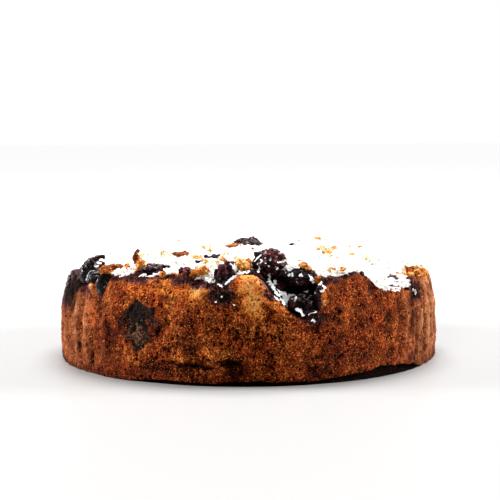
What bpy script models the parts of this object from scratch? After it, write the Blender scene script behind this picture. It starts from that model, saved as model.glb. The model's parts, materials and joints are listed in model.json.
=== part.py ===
"""Coconut cake: one round, uncut fruit cake baked in a crumpled liner, with whole baked berries.

Metres, +Z up. The origin is the middle of the flat underside. Angles round the cake are in
degrees from the front (-Y), positive towards +X.
"""

import math
from typing import NamedTuple

import bmesh
import bpy
from mathutils import Matrix, Vector, noise

# Body of the cake
CAKE_RADIUS = 0.1032  # at the widest height, between the folds
RIM_HEIGHT = 0.0514  # usual height of the rim at the front
BACK_RIM_DROP = 0.0010  # the rim stands this much lower at the back
CROWN_RISE = 0.0076  # the middle stands this much higher than the rim
LEAN_START = 0.0270  # above this height the wall leans in towards the rim
RIM_LEAN = 0.0068  # how far it has leant in at the usual rim height
LEAN_POWER = 1.5
FRONT_UPRIGHT = 0.45  # the front wall leans less than the sides by this share
FRONT_SPREAD = 42.0  # degrees
FOOT_EDGE_HEIGHT = 0.0042
FOOT_EDGE_INSET = 0.0024
RIM_EDGE_HEIGHT = 0.0045
RIM_EDGE_INSET = 0.0045

# Where the foot has come up from the ground: angle, extra inset, width (degrees)
FOOT_LIFTS = (
    (33.0, 0.0046, 17.0),
    (-6.0, 0.0024, 16.0),
    (150.0, 0.0024, 18.0),
    (-125.0, 0.0020, 14.0),
)

# Dips and rises of the rim: angle, height change, width before and after the angle (degrees)
RIM_SHAPE = (
    (-88.0, -0.0030, 14.0, 12.0),
    (-60.5, -0.0065, 4.5, 4.5),
    (-49.5, -0.0048, 3.0, 3.0),
    (-7.5, -0.0014, 3.0, 2.6),
    (-0.3, 0.0042, 4.8, 5.2),
    (41.5, -0.0070, 3.0, 4.5),
    (54.5, -0.0068, 6.0, 4.0),
    (94.0, -0.0028, 16.0, 30.0),
    (163.0, -0.0060, 6.0, 6.0),
    (-119.0, -0.0040, 5.0, 5.0),
)
RIM_RIPPLE = 0.0016  # smaller uneven bumps all round the rim
RIM_RIPPLE_PER_TURN = 11.0

# The notch in the front rim where fruit has sunk through
NOTCH_OUTLINE = (  # angle and depth under the plain rim, from its left end to its right end
    (4.6, 0.0), (6.1, 0.0040), (7.5, 0.0069), (9.1, 0.0093), (11.0, 0.0122), (12.7, 0.0150), (14.4, 0.0168),
    (16.4, 0.0180), (17.8, 0.0162), (19.6, 0.0137), (20.7, 0.0112), (21.6, 0.0030), (22.6, 0.0),
)
NOTCH_REACH = 0.017  # how far the notch runs in from the rim

# Folds that the crumpled liner pressed into the wall: angle and height of each ridge
FRONT_FOLDS = (
    (-68.0, 0.0011),
    (-59.5, 0.0013),
    (-54.2, 0.0014),
    (-44.6, 0.0010),
    (-36.0, 0.0004),
    (-17.9, 0.0005),
    (-0.7, 0.0004),
    (27.0, 0.0005),
    (35.0, 0.0007),
    (41.6, 0.0013),
    (46.4, 0.0014),
    (51.9, 0.0016),
    (56.6, 0.0014),
    (61.6, 0.0014),
    (68.3, 0.0016),
)
BACK_FOLDS = 44  # from the last front fold round the back to the first
BACK_FOLD_HEIGHT = 0.0012
FOLD_WIDTH = 1.7  # degrees, half of the ridge's width at its foot
FOLD_GROOVE = 0.35  # depth of the groove beside a ridge, as a share of the ridge
WALL_LUMP = 0.0009
WALL_LUMP_SCALE = 32.0  # per metre

# Lumps of the crumb on the top: x, y, height, radius
TOP_LUMPS = (
    (-0.057, -0.040, 0.0040, 0.009),
    (-0.037, -0.008, 0.0030, 0.013),
    (-0.027, -0.061, 0.0032, 0.009),
    (-0.002, -0.072, 0.0030, 0.009),
    (0.042, 0.022, 0.0028, 0.014),
    (0.046, -0.055, 0.0030, 0.010),
    (0.084, -0.036, 0.0026, 0.010),
    (0.020, 0.070, 0.0030, 0.015),
    (-0.045, 0.055, 0.0034, 0.013),
    (0.068, 0.045, 0.0030, 0.012),
)
TOP_UNEVEN = 0.0024
TOP_UNEVEN_SCALE = 48.0  # per metre
PIT_DEPTH = 0.0016  # the crumb sinks beside each berry on the top
PIT_MARGIN = 0.0045

# Berries
POCKET_GAP = 0.00045  # between a berry and the crumb round it
DRUPELETS = 24  # raised points on a berry
SMALL_DRUPELETS = 18  # on a berry narrower than this half width
SMALL_BERRY = 0.0060
DIMPLE_DEPTH = 0.0009  # between the raised points
GOLDEN_ANGLE = math.pi * (3.0 - math.sqrt(5.0))

# Mesh
SEGMENTS = 180  # round the wall
FOOT_STEPS = 2  # rows in the rounded foot
RIM_STEPS = 3  # rows in the rounded rim
WALL_STEPS = 4  # rows between the two
TOP_RINGS = (0.93, 0.85, 0.76, 0.67, 0.58, 0.48, 0.38, 0.28, 0.18, 0.09)
TOP_COUNTS = (90, 90, 90, 90, 90, 45, 45, 45, 45, 45)
BASE_RINGS = (0.86, 0.60, 0.30)
BASE_COUNTS = (90, 45, 45)

# Finishes: colour, roughness
CRUST = ((0.165, 0.038, 0.010), 0.62)
BERRY_SKIN = ((0.018, 0.006, 0.008), 0.30)


class Berry(NamedTuple):
    """A baked berry: its middle, its half sizes across, through and up, and its turn."""

    name: str
    angle: float
    radius: float
    height: float
    across: float
    through: float
    up: float
    turn: float


BERRIES = (
    # in and beside the notch
    Berry("berry_notch_back", 8.4, 0.0762, 0.0570, 0.0084, 0.0072, 0.0080, 12),
    Berry("berry_notch_upper", 18.0, 0.0850, 0.0510, 0.0084, 0.0066, 0.0056, -18),
    Berry("berry_notch_lower", 17.0, 0.0955, 0.0388, 0.0080, 0.0062, 0.0052, 10),
    # on the rim at the left
    Berry("berry_left_wall", -71.0, 0.0974, 0.0380, 0.0090, 0.0062, 0.0124, 0),
    Berry("berry_left_top", -60.4, 0.0955, 0.0490, 0.0054, 0.0056, 0.0062, 20),
    Berry("berry_left_tip", -64.5, 0.0880, 0.0525, 0.0046, 0.0050, 0.0048, 40),
    Berry("berry_left_rim", -53.8, 0.0955, 0.0460, 0.0043, 0.0056, 0.0062, 0),
    Berry("berry_left_smooth", -48.0, 0.0968, 0.0452, 0.0042, 0.0056, 0.0076, -6),
    # on the top towards the front
    Berry("berry_front_flat", -34.8, 0.0835, 0.0510, 0.0094, 0.0072, 0.0056, 14),
    Berry("berry_front_middle", -6.4, 0.0875, 0.0505, 0.0054, 0.0060, 0.0060, 30),
    Berry("berry_front_small", -19.5, 0.0540, 0.0545, 0.0066, 0.0058, 0.0056, -25),
    Berry("berry_right_small", 51.7, 0.0945, 0.0462, 0.0044, 0.0042, 0.0040, 0),
    # on the top towards the back
    Berry("berry_middle", 180.0, 0.0200, 0.0572, 0.0094, 0.0078, 0.0064, 8),
    Berry("berry_back_small", 150.5, 0.0530, 0.0553, 0.0070, 0.0062, 0.0048, 35),
    Berry("berry_back_right", 124.0, 0.0830, 0.0475, 0.0088, 0.0074, 0.0066, -30),
    Berry("berry_back_rim", 164.0, 0.0900, 0.0440, 0.0092, 0.0072, 0.0072, 15),
    Berry("berry_back_left", -150.0, 0.0760, 0.0495, 0.0094, 0.0076, 0.0066, 50),
    Berry("berry_back_far_left", -119.0, 0.0880, 0.0450, 0.0084, 0.0072, 0.0068, -20),
    # sunk in the wall
    Berry("berry_wall_front", -6.4, 0.0984, 0.0420, 0.0066, 0.0044, 0.0048, 0),
    Berry("berry_wall_large", -31.9, 0.0993, 0.0280, 0.0132, 0.0052, 0.0130, 0),
    Berry("berry_wall_right", 106.0, 0.0990, 0.0290, 0.0105, 0.0048, 0.0100, 0),
    Berry("berry_wall_back", -164.0, 0.0994, 0.0240, 0.0110, 0.0048, 0.0090, 0),
)


def clear_scene():
    for obj in list(bpy.data.objects):
        bpy.data.objects.remove(obj, do_unlink=True)


def make_material(name, finish):
    colour, roughness = finish
    material = bpy.data.materials.new(name)
    material.use_nodes = True
    shader = material.node_tree.nodes["Principled BSDF"]
    shader.inputs["Base Color"].default_value = (*colour, 1.0)
    shader.inputs["Roughness"].default_value = roughness
    shader.inputs["Metallic"].default_value = 0.0
    return material


def smooth_step(value):
    value = min(max(value, 0.0), 1.0)
    return value * value * (3.0 - 2.0 * value)


def angle_between(angle, other):
    return (angle - other + 180.0) % 360.0 - 180.0


def around(angle, radius, height=0.0):
    """The point at an angle, a radius and a height."""
    turn = math.radians(angle)
    return Vector((radius * math.sin(turn), -radius * math.cos(turn), height))


def wave(angle, per_turn, row):
    """Smooth noise round the cake, from about -1 to 1, that closes after one turn."""
    spot = around(angle, per_turn / (2.0 * math.pi), row)
    return noise.noise(spot) * 1.6


def notch_depth(angle):
    away = angle_between(angle, 0.0)
    for (left, left_depth), (right, right_depth) in zip(NOTCH_OUTLINE, NOTCH_OUTLINE[1:]):
        if left <= away < right:
            return left_depth + (right_depth - left_depth) * (away - left) / (right - left)
    return 0.0


def rim_height(angle):
    height = RIM_HEIGHT - BACK_RIM_DROP * (1.0 - math.cos(math.radians(angle))) / 2.0
    for place, change, before, after in RIM_SHAPE:
        away = angle_between(angle, place)
        height += change * math.exp(-((away / (before if away < 0.0 else after)) ** 2))
    height += RIM_RIPPLE * wave(angle, RIM_RIPPLE_PER_TURN, 3.7)
    return height - notch_depth(angle)


def list_folds():
    """All ridges round the wall: those seen at the front, then the ones round the back."""
    folds = list(FRONT_FOLDS)
    first = FRONT_FOLDS[-1][0]
    span = 360.0 - first + FRONT_FOLDS[0][0]
    for number in range(1, BACK_FOLDS):
        shift = 0.35 * noise.noise(Vector((number * 1.37, 8.1, 0.0)))
        strength = 0.75 + 0.9 * noise.noise(Vector((number * 0.83, 2.4, 5.0)))
        folds.append((first + span * (number + shift) / BACK_FOLDS, BACK_FOLD_HEIGHT * strength))
    return folds


FOLDS = list_folds()


def fold_height(angle):
    total = 0.0
    for place, height in FOLDS:
        away = abs(angle_between(angle, place)) / FOLD_WIDTH
        if away < 3.0:
            total += height * (math.exp(-away * away) - FOLD_GROOVE * math.exp(-((away - 1.6) ** 2)))
    return total


def wall_radius(angle, height):
    """Radius of the wall, with its lean, folds and lumps, before the edges are rounded."""
    above = max(0.0, height - LEAN_START) / (RIM_HEIGHT - LEAN_START)
    upright = FRONT_UPRIGHT * math.exp(-((angle_between(angle, 0.0) / FRONT_SPREAD) ** 2))
    lean = RIM_LEAN * (1.0 - upright) * above**LEAN_POWER
    lump = WALL_LUMP * 1.6 * noise.noise(around(angle, CAKE_RADIUS, height) * WALL_LUMP_SCALE)
    return CAKE_RADIUS - lean + lump + fold_height(angle)


def foot_inset(angle):
    inset = FOOT_EDGE_INSET
    for place, extra, width in FOOT_LIFTS:
        inset += extra * math.exp(-((angle_between(angle, place) / width) ** 2))
    return inset


def crest_radius(angle):
    return wall_radius(angle, rim_height(angle)) - RIM_EDGE_INSET


def top_height(x, y):
    """Height of the top: a low crown, the rim's shape near the edge, lumps and pits."""
    radius = math.hypot(x, y)
    angle = math.degrees(math.atan2(x, -y))
    reach = radius / (CAKE_RADIUS - RIM_EDGE_INSET)
    nearness = smooth_step((reach - 0.62) / 0.38)
    plain_rim = rim_height(angle) + notch_depth(angle)
    height = RIM_HEIGHT + (plain_rim - RIM_HEIGHT) * nearness
    height += CROWN_RISE * max(0.0, 1.0 - reach**3.0)
    inside = max(0.0, CAKE_RADIUS - RIM_EDGE_INSET - radius)
    height -= notch_depth(angle) * math.exp(-((inside / NOTCH_REACH) ** 2))
    uneven = noise.noise(Vector((x, y, 0.3)) * TOP_UNEVEN_SCALE)
    height += TOP_UNEVEN * uneven * (1.0 - 0.7 * nearness)
    for lump_x, lump_y, rise, width in TOP_LUMPS:
        away = math.hypot(x - lump_x, y - lump_y) / width
        height += rise * math.exp(-away * away) * (1.0 - 0.6 * nearness)
    for berry in BERRIES:
        if berry.radius + berry.through < CAKE_RADIUS - RIM_EDGE_INSET:
            middle = around(berry.angle, berry.radius)
            away = math.hypot(x - middle.x, y - middle.y) / (berry.across + PIT_MARGIN)
            height -= PIT_DEPTH * math.exp(-(away**4))
    return height


def wall_rows():
    """Rows of the wall from the foot to the crest: function of the angle giving radius, height."""
    rows = []

    def foot(step):
        turn = 0.5 * math.pi * step / FOOT_STEPS
        height = FOOT_EDGE_HEIGHT * (1.0 - math.cos(turn))
        share = 1.0 - math.sin(turn)
        return lambda angle: (wall_radius(angle, height) - foot_inset(angle) * share, height)

    def side(step):
        share = step / WALL_STEPS

        def place(angle):
            upper = rim_height(angle) - RIM_EDGE_HEIGHT
            height = FOOT_EDGE_HEIGHT + (upper - FOOT_EDGE_HEIGHT) * share
            return wall_radius(angle, height), height

        return place

    def shoulder(step):
        turn = 0.5 * math.pi * step / RIM_STEPS
        inset = RIM_EDGE_INSET * (1.0 - math.cos(turn))

        def place(angle):
            height = rim_height(angle) - RIM_EDGE_HEIGHT * (1.0 - math.sin(turn))
            return wall_radius(angle, height) - inset, height

        return place

    rows.extend(foot(step) for step in range(FOOT_STEPS + 1))
    rows.extend(side(step) for step in range(1, WALL_STEPS))
    rows.extend(shoulder(step) for step in range(RIM_STEPS + 1))
    return rows


def add_ring(mesh, count, place):
    """A closed ring of vertices; place gives the point at an angle."""
    return [mesh.verts.new(place(360.0 * number / count)) for number in range(count)]


def bridge(mesh, outer, inner):
    """Triangles between two rings of the same count, or from a ring to one of half its count."""
    count = len(outer)
    if len(inner) == count:
        for i in range(count):
            j = (i + 1) % count
            mesh.faces.new((outer[i], outer[j], inner[j]))
            mesh.faces.new((outer[i], inner[j], inner[i]))
        return
    for i in range(len(inner)):
        first = outer[2 * i]
        middle = outer[2 * i + 1]
        last = outer[(2 * i + 2) % count]
        following = inner[(i + 1) % len(inner)]
        mesh.faces.new((first, middle, inner[i]))
        mesh.faces.new((middle, following, inner[i]))
        mesh.faces.new((middle, last, following))


def close_with_point(mesh, ring, point):
    centre = mesh.verts.new(point)
    for i, vertex in enumerate(ring):
        mesh.faces.new((vertex, ring[(i + 1) % len(ring)], centre))


def add_top(mesh, crest):
    ring = crest
    for share, count in zip(TOP_RINGS, TOP_COUNTS):

        def place(angle, share=share):
            point = around(angle, crest_radius(angle) * share)
            point.z = top_height(point.x, point.y)
            return point

        inner = add_ring(mesh, count, place)
        bridge(mesh, ring, inner)
        ring = inner
    close_with_point(mesh, ring, Vector((0.0, 0.0, top_height(0.0, 0.0))))


def add_base(mesh, foot, foot_row):
    ring = foot
    for share, count in zip(BASE_RINGS, BASE_COUNTS):
        inner = add_ring(mesh, count, lambda angle: around(angle, foot_row(angle)[0] * share))
        bridge(mesh, ring, inner)
        ring = inner
    close_with_point(mesh, ring, Vector((0.0, 0.0, 0.0)))


def finish_mesh(mesh, name, material):
    """A smooth-shaded object from a bmesh, with its faces pointing out."""
    bmesh.ops.recalc_face_normals(mesh, faces=mesh.faces)
    data = bpy.data.meshes.new(name)
    mesh.to_mesh(data)
    mesh.free()
    data.shade_smooth()
    if material is not None:
        data.materials.append(material)
    obj = bpy.data.objects.new(name, data)
    bpy.context.collection.objects.link(obj)
    return obj


def make_cake(material):
    mesh = bmesh.new()
    rows = wall_rows()
    rings = [add_ring(mesh, SEGMENTS, lambda a, row=row: around(a, *row(a))) for row in rows]
    for lower, upper in zip(rings, rings[1:]):
        bridge(mesh, lower, upper)
    add_top(mesh, rings[-1])
    add_base(mesh, rings[0], rows[0])
    return finish_mesh(mesh, "cake", material)


def berry_points(berry, growth):
    """Evenly spread points on the berry's ellipsoid, grown outwards and put in place."""
    points = []
    size = Vector((berry.across + growth, berry.through + growth, berry.up + growth))
    turned = Matrix.Rotation(math.radians(berry.angle + berry.turn), 3, "Z")
    middle = around(berry.angle, berry.radius, berry.height)
    count = SMALL_DRUPELETS if berry.across < SMALL_BERRY else DRUPELETS
    for number in range(count):
        level = 1.0 - 2.0 * (number + 0.5) / count
        width = math.sqrt(1.0 - level * level)
        turn = GOLDEN_ANGLE * number
        direction = Vector((width * math.cos(turn), width * math.sin(turn), level))
        points.append(middle + turned @ (direction * size))
    return points


def make_hull(berry, growth):
    mesh = bmesh.new()
    for point in berry_points(berry, growth):
        mesh.verts.new(point)
    bmesh.ops.convex_hull(mesh, input=mesh.verts)
    bmesh.ops.recalc_face_normals(mesh, faces=mesh.faces)
    return mesh


def make_berry(berry, material):
    mesh = make_hull(berry, 0.0)
    bmesh.ops.poke(mesh, faces=mesh.faces, offset=-DIMPLE_DEPTH)
    return finish_mesh(mesh, berry.name, material)


def make_pockets():
    """One cutter object for each berry, in a collection of their own."""
    pockets = bpy.data.collections.new("pockets")
    bpy.context.scene.collection.children.link(pockets)
    for berry in BERRIES:
        cutter = finish_mesh(make_hull(berry, POCKET_GAP), "cut_" + berry.name, None)
        for home in list(cutter.users_collection):
            home.objects.unlink(cutter)
        pockets.objects.link(cutter)
        cutter.hide_render = True
        cutter.display_type = "WIRE"
    return pockets


def cut_pockets(cake, pockets):
    cut = cake.modifiers.new("pockets", "BOOLEAN")
    cut.operation = "DIFFERENCE"
    cut.operand_type = "COLLECTION"
    cut.collection = pockets
    cut.solver = "EXACT"


def main():
    clear_scene()
    crust = make_material("crust", CRUST)
    skin = make_material("berry skin", BERRY_SKIN)
    cake = make_cake(crust)
    for berry in BERRIES:
        make_berry(berry, skin)
    cut_pockets(cake, make_pockets())


main()
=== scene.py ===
import json
import math

import bmesh
import bpy
import numpy as np
from mathutils import Matrix, Vector, noise
from mathutils.bvhtree import BVHTree

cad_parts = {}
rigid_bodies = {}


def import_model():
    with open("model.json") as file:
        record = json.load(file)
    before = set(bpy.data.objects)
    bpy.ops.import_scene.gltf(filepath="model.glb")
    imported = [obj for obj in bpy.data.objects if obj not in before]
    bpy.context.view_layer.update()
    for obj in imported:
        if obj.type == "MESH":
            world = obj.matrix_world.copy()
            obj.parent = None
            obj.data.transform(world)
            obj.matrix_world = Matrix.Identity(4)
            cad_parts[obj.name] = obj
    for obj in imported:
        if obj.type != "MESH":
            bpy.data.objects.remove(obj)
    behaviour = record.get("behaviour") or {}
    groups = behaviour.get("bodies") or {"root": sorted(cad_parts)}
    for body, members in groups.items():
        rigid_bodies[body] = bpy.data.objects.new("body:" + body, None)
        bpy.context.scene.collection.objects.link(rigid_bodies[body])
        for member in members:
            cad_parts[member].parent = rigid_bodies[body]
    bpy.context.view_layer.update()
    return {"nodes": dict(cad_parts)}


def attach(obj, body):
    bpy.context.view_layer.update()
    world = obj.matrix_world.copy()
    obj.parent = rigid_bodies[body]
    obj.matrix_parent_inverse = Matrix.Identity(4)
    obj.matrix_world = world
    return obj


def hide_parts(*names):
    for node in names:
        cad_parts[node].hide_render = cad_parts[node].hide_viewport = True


# A round, uncut coconut cake: its browned crust, the berries baked into it and the coconut on top.
# Metres, +Z up. Angles round the cake are in degrees from the front (-Y), positive towards +X.

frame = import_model()
print("frame loaded:", len(frame["nodes"]), "nodes")

scene = bpy.context.scene
goldenAngle = math.pi * (3.0 - math.sqrt(5.0))


# helpers for node trees, shaders and geometry alike: the tree is found from the sockets

def plug(value, socket):
    if isinstance(value, bpy.types.NodeSocket):
        socket.id_data.links.new(value, socket)
    else:
        socket.default_value = value


def addNode(tree, kind, inputs=None, **settings):
    made = tree.nodes.new(kind)
    for name, value in settings.items():
        setattr(made, name, value)
    for name, value in (inputs or {}).items():
        plug(value, made.inputs[name])
    return made


def treeOf(values):
    return next(value.id_data for value in values if isinstance(value, bpy.types.NodeSocket))


def calc(operation, *values):
    while operation in ("ADD", "MULTIPLY") and len(values) > 2:
        values = (calc(operation, *values[:2]), *values[2:])
    return addNode(treeOf(values), "ShaderNodeMath", dict(enumerate(values)), operation=operation).outputs[0]


def vectorCalc(operation, *values):
    places = (0, 3) if operation == "SCALE" else (0, 1)
    made = addNode(treeOf(values), "ShaderNodeVectorMath", dict(zip(places, values)), operation=operation)
    return made.outputs[1 if operation in ("LENGTH", "DISTANCE") else 0]


def swing(value, amount):
    return calc("MULTIPLY", calc("SUBTRACT", value, 0.5), amount)


def between(value, low, high, toLow=0.0, toHigh=1.0):
    inputs = dict(enumerate((value, low, high, toLow, toHigh)))
    return addNode(value.id_data, "ShaderNodeMapRange", inputs, interpolation_type="SMOOTHSTEP").outputs[0]


def grain(place, scale, detail=2.0, roughness=0.5, output="Fac"):
    inputs = {"Vector": place, "Scale": scale, "Detail": detail, "Roughness": roughness}
    return addNode(place.id_data, "ShaderNodeTexNoise", inputs).outputs[output]


def cells(place, scale):
    return addNode(place.id_data, "ShaderNodeTexVoronoi", {"Vector": place, "Scale": scale}).outputs


def rampColour(value, stops):
    made = addNode(value.id_data, "ShaderNodeValToRGB", {0: value})
    ramp = made.color_ramp
    ramp.elements[0].position, ramp.elements[1].position = stops[0][0], stops[-1][0]
    for place, _ in stops[1:-1]:
        ramp.elements.new(place)
    for element, (_, colour) in zip(ramp.elements, stops):
        element.color = (*colour, 1.0)
    return made.outputs[0]


def blendColour(share, first, second, way="MIX"):
    first, second = ((*value, 1.0) if isinstance(value, tuple) else value for value in (first, second))
    inputs = {0: share, 6: first, 7: second}
    tree = treeOf(inputs.values())
    return addNode(tree, "ShaderNodeMix", inputs, data_type="RGBA", blend_type=way).outputs[2]


# camera, floor and light

view = {
    "distance": 0.761,  # of the camera in front of the cake's middle
    "height": 0.1309,
    "aside": 0.0014,
    "pitch": 5.53,  # degrees downwards
    "roll": 0.30,  # degrees
    "focalLength": 1368.0,  # in pixels of a picture of this width
    "pictureWidth": 500.0,
    "sensor": 36.0,  # mm
}


def makeCamera():
    pitch, roll = math.radians(view["pitch"]), math.radians(view["roll"])
    up = Vector((0.0, math.sin(pitch), math.cos(pitch)))
    forward = Vector((0.0, math.cos(pitch), -math.sin(pitch)))
    side = Vector((1.0, 0.0, 0.0)) * math.cos(roll) - up * math.sin(roll)
    upright = Vector((1.0, 0.0, 0.0)) * math.sin(roll) + up * math.cos(roll)
    eye = Vector((view["aside"], -view["distance"], view["height"]))
    data = bpy.data.cameras.new("camera")
    data.sensor_width = view["sensor"]
    data.lens = view["focalLength"] / view["pictureWidth"] * view["sensor"]
    data.dof.use_dof = False
    data.clip_start = 0.05
    camera = bpy.data.objects.new("camera", data)
    turned = Matrix((side, upright, -forward)).transposed().to_4x4()
    camera.matrix_world = Matrix.Translation(eye) @ turned
    scene.collection.objects.link(camera)
    scene.camera = camera
    return eye, side, upright, forward


eye, viewSide, viewUp, viewForward = makeCamera()


def sightLine(pixelX, pixelY):
    half = view["pictureWidth"] / 2.0
    aside = (pixelX - half) / view["focalLength"]
    above = (half - pixelY) / view["focalLength"]
    return (viewForward + viewSide * aside + viewUp * above).normalized()


studio = {
    "frontLight": 0.07,  # of the white surroundings, in front of the cake and behind it
    "backLight": 0.60,
    "floorReach": 6.0,
    "floorColour": (0.325, 0.325, 0.328),
    "floorRoughness": 0.42,
    "floorGlow": 0.74,  # far from the cake, so that the floor stays as pale as near it
    "floorGlowFrom": 0.25,
    "floorGlowWhole": 1.6,
    "lampsAimAt": (0.0, 0.0, 0.03),
    # name: place, size, power, colour
    "lamps": {
        "topBack": ((0.05, 0.35, 1.25), (0.8, 0.6), 33.0, (1.0, 0.99, 0.97)),
        "left": ((-1.25, 0.05, 0.45), (0.5, 0.4), 35.0, (1.0, 0.99, 0.98)),
        "right": ((1.25, 0.05, 0.45), (0.5, 0.4), 35.0, (1.0, 0.99, 0.98)),
        "front": ((-0.5, -1.5, 0.85), (0.4, 0.3), 11.5, (1.0, 0.99, 0.98)),
    },
}


def lightStudio():
    for name, (place, size, power, colour) in studio["lamps"].items():
        data = bpy.data.lights.new(name, "AREA")
        data.shape = "RECTANGLE"
        data.size, data.size_y = size
        data.energy = power
        data.color = colour
        lamp = bpy.data.objects.new(name, data)
        lamp.location = place
        aim = Vector(studio["lampsAimAt"]) - Vector(place)
        lamp.rotation_euler = aim.to_track_quat("-Z", "Y").to_euler()
        scene.collection.objects.link(lamp)
    world = bpy.data.worlds.new("paleStudio")
    world.use_nodes = True
    tree = world.node_tree
    backdrop = tree.nodes["Background"]
    backdrop.inputs["Color"].default_value = (1.0, 1.0, 1.0, 1.0)
    seen = addNode(tree, "ShaderNodeLightPath").outputs["Is Camera Ray"]
    direction = addNode(tree, "ShaderNodeTexCoord").outputs["Generated"]
    backwards = addNode(tree, "ShaderNodeSeparateXYZ", {0: direction}).outputs[1]
    glow = between(backwards, -0.5, 0.7, studio["frontLight"], studio["backLight"])
    plug(calc("MAXIMUM", seen, glow), backdrop.inputs["Strength"])
    scene.world = world
    scene.view_settings.view_transform = "Standard"


def layFloor():
    reach = studio["floorReach"]
    corners = [(-reach, -reach, 0), (reach, -reach, 0), (reach, reach, 0), (-reach, reach, 0)]
    data = bpy.data.meshes.new("floor")
    data.from_pydata(corners, [], [(0, 1, 2, 3)])
    floor = bpy.data.objects.new("floor", data)
    scene.collection.objects.link(floor)
    paint = bpy.data.materials.new("paleFloor")
    paint.use_nodes = True
    tree = paint.node_tree
    shader = tree.nodes["Principled BSDF"]
    away = vectorCalc("LENGTH", addNode(tree, "ShaderNodeTexCoord").outputs["Object"])
    glow = between(away, studio["floorGlowFrom"], studio["floorGlowWhole"], 0.0, studio["floorGlow"])
    shader.inputs["Emission Color"].default_value = (1.0, 1.0, 1.0, 1.0)
    plug(glow, shader.inputs["Emission Strength"])
    shader.inputs["Base Color"].default_value = (*studio["floorColour"], 1.0)
    shader.inputs["Roughness"].default_value = studio["floorRoughness"]
    data.materials.append(paint)


lightStudio()
layFloor()
print("camera, lights and floor made")


# the shape of the cake

cake = {
    "radius": 0.1032,  # of the wall between its folds
    "rimHeight": 0.0514,
    "backRimDrop": 0.0010,  # how much lower the rim is at the back
    "crownRise": 0.0076,  # of the middle of the top over its rim
    "leanStart": 0.0270,  # height from which the wall leans inwards
    "rimLean": 0.0068,
    "leanPower": 1.5,
    "frontUpright": 0.45,  # how much less it leans at the front, over this many degrees
    "frontSpread": 42.0,
    "footEdgeHeight": 0.0042,
    "footEdgeInset": 0.0024,
    "rimEdgeHeight": 0.0034,
    "rimEdgeInset": 0.0034,
    # angle, extra inset, width of each stretch of foot that has come up from the ground
    "footLifts": (
        (33.0, 0.0046, 17.0), (-6.0, 0.0024, 16.0), (150.0, 0.0024, 18.0), (-125.0, 0.002, 14.0),
    ),
    # angle, change of height, width before and after it
    "rimShape": (
        (-88.0, -0.003, 14.0, 12.0), (-78.0, -0.0018, 5.0, 5.0), (-60.5, -0.0065, 4.5, 4.5),
        (-49.5, -0.0048, 3.0, 3.0), (-19.5, 0.0027, 4.4, 4.2), (-7.5, -0.0014, 3.0, 2.6),
        (-0.3, 0.0042, 4.8, 5.2), (34.5, 0.0018, 3.4, 3.0), (43.0, -0.007, 3.2, 3.6),
        (54.5, -0.0068, 6.0, 4.0), (81.0, -0.0016, 8.0, 9.0), (94.0, -0.0028, 16.0, 30.0),
        (163.0, -0.006, 6.0, 6.0), (-119.0, -0.004, 5.0, 5.0),
    ),
    "rimRipple": 0.0016,
    "rimRipplesPerTurn": 11.0,
    # angle and depth under the plain rim, from the notch's left end to its right end
    "notchOutline": (
        (4.6, 0.0), (6.1, 0.004), (7.5, 0.0069), (9.1, 0.0093), (11.0, 0.0122), (12.7, 0.015),
        (14.4, 0.0168), (16.4, 0.018), (17.8, 0.0162), (19.6, 0.0137), (20.7, 0.0112), (21.6, 0.003),
        (22.6, 0.0),
    ),
    "notchReach": 0.017,  # how far the notch runs into the top
    # angle and height of each fold pressed in by the liner at the front
    "frontFolds": (
        (-68.0, 0.0011), (-59.5, 0.0013), (-54.2, 0.0014), (-44.6, 0.001), (-36.0, 0.0004), (-17.9, 0.0005),
        (-0.7, 0.0004), (27.0, 0.0003), (35.0, 0.0003), (41.6, 0.0005), (46.4, 0.0006), (51.9, 0.0008),
        (56.6, 0.0009), (61.6, 0.0014), (68.3, 0.0015),
    ),
    "backFolds": 44,
    "backFoldHeight": 0.0012,
    "foldWidth": 1.7,  # degrees
    "foldGroove": 0.35,
    "wallLump": 0.0009,
    "wallLumpScale": 32.0,
    # x, y, rise and radius of each lump of crumb on the top
    "topLumps": (
        (-0.057, -0.04, 0.004, 0.009), (-0.037, -0.008, 0.003, 0.013), (-0.027, -0.061, 0.0032, 0.009),
        (-0.002, -0.072, 0.003, 0.009), (0.042, 0.022, 0.0028, 0.014), (0.046, -0.055, 0.003, 0.01),
        (0.0915, -0.0345, 0.0006, 0.0046), (0.02, 0.07, 0.003, 0.015), (-0.045, 0.055, 0.0034, 0.013),
        (0.068, 0.045, 0.003, 0.012),
    ),
    "topEdgeInset": 0.0045,
    "topUneven": 0.0024,
    "topUnevenScale": 48.0,
    "pitDepth": 0.0016,  # how far the top sinks round a berry
    "pitMargin": 0.0045,
}

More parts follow.
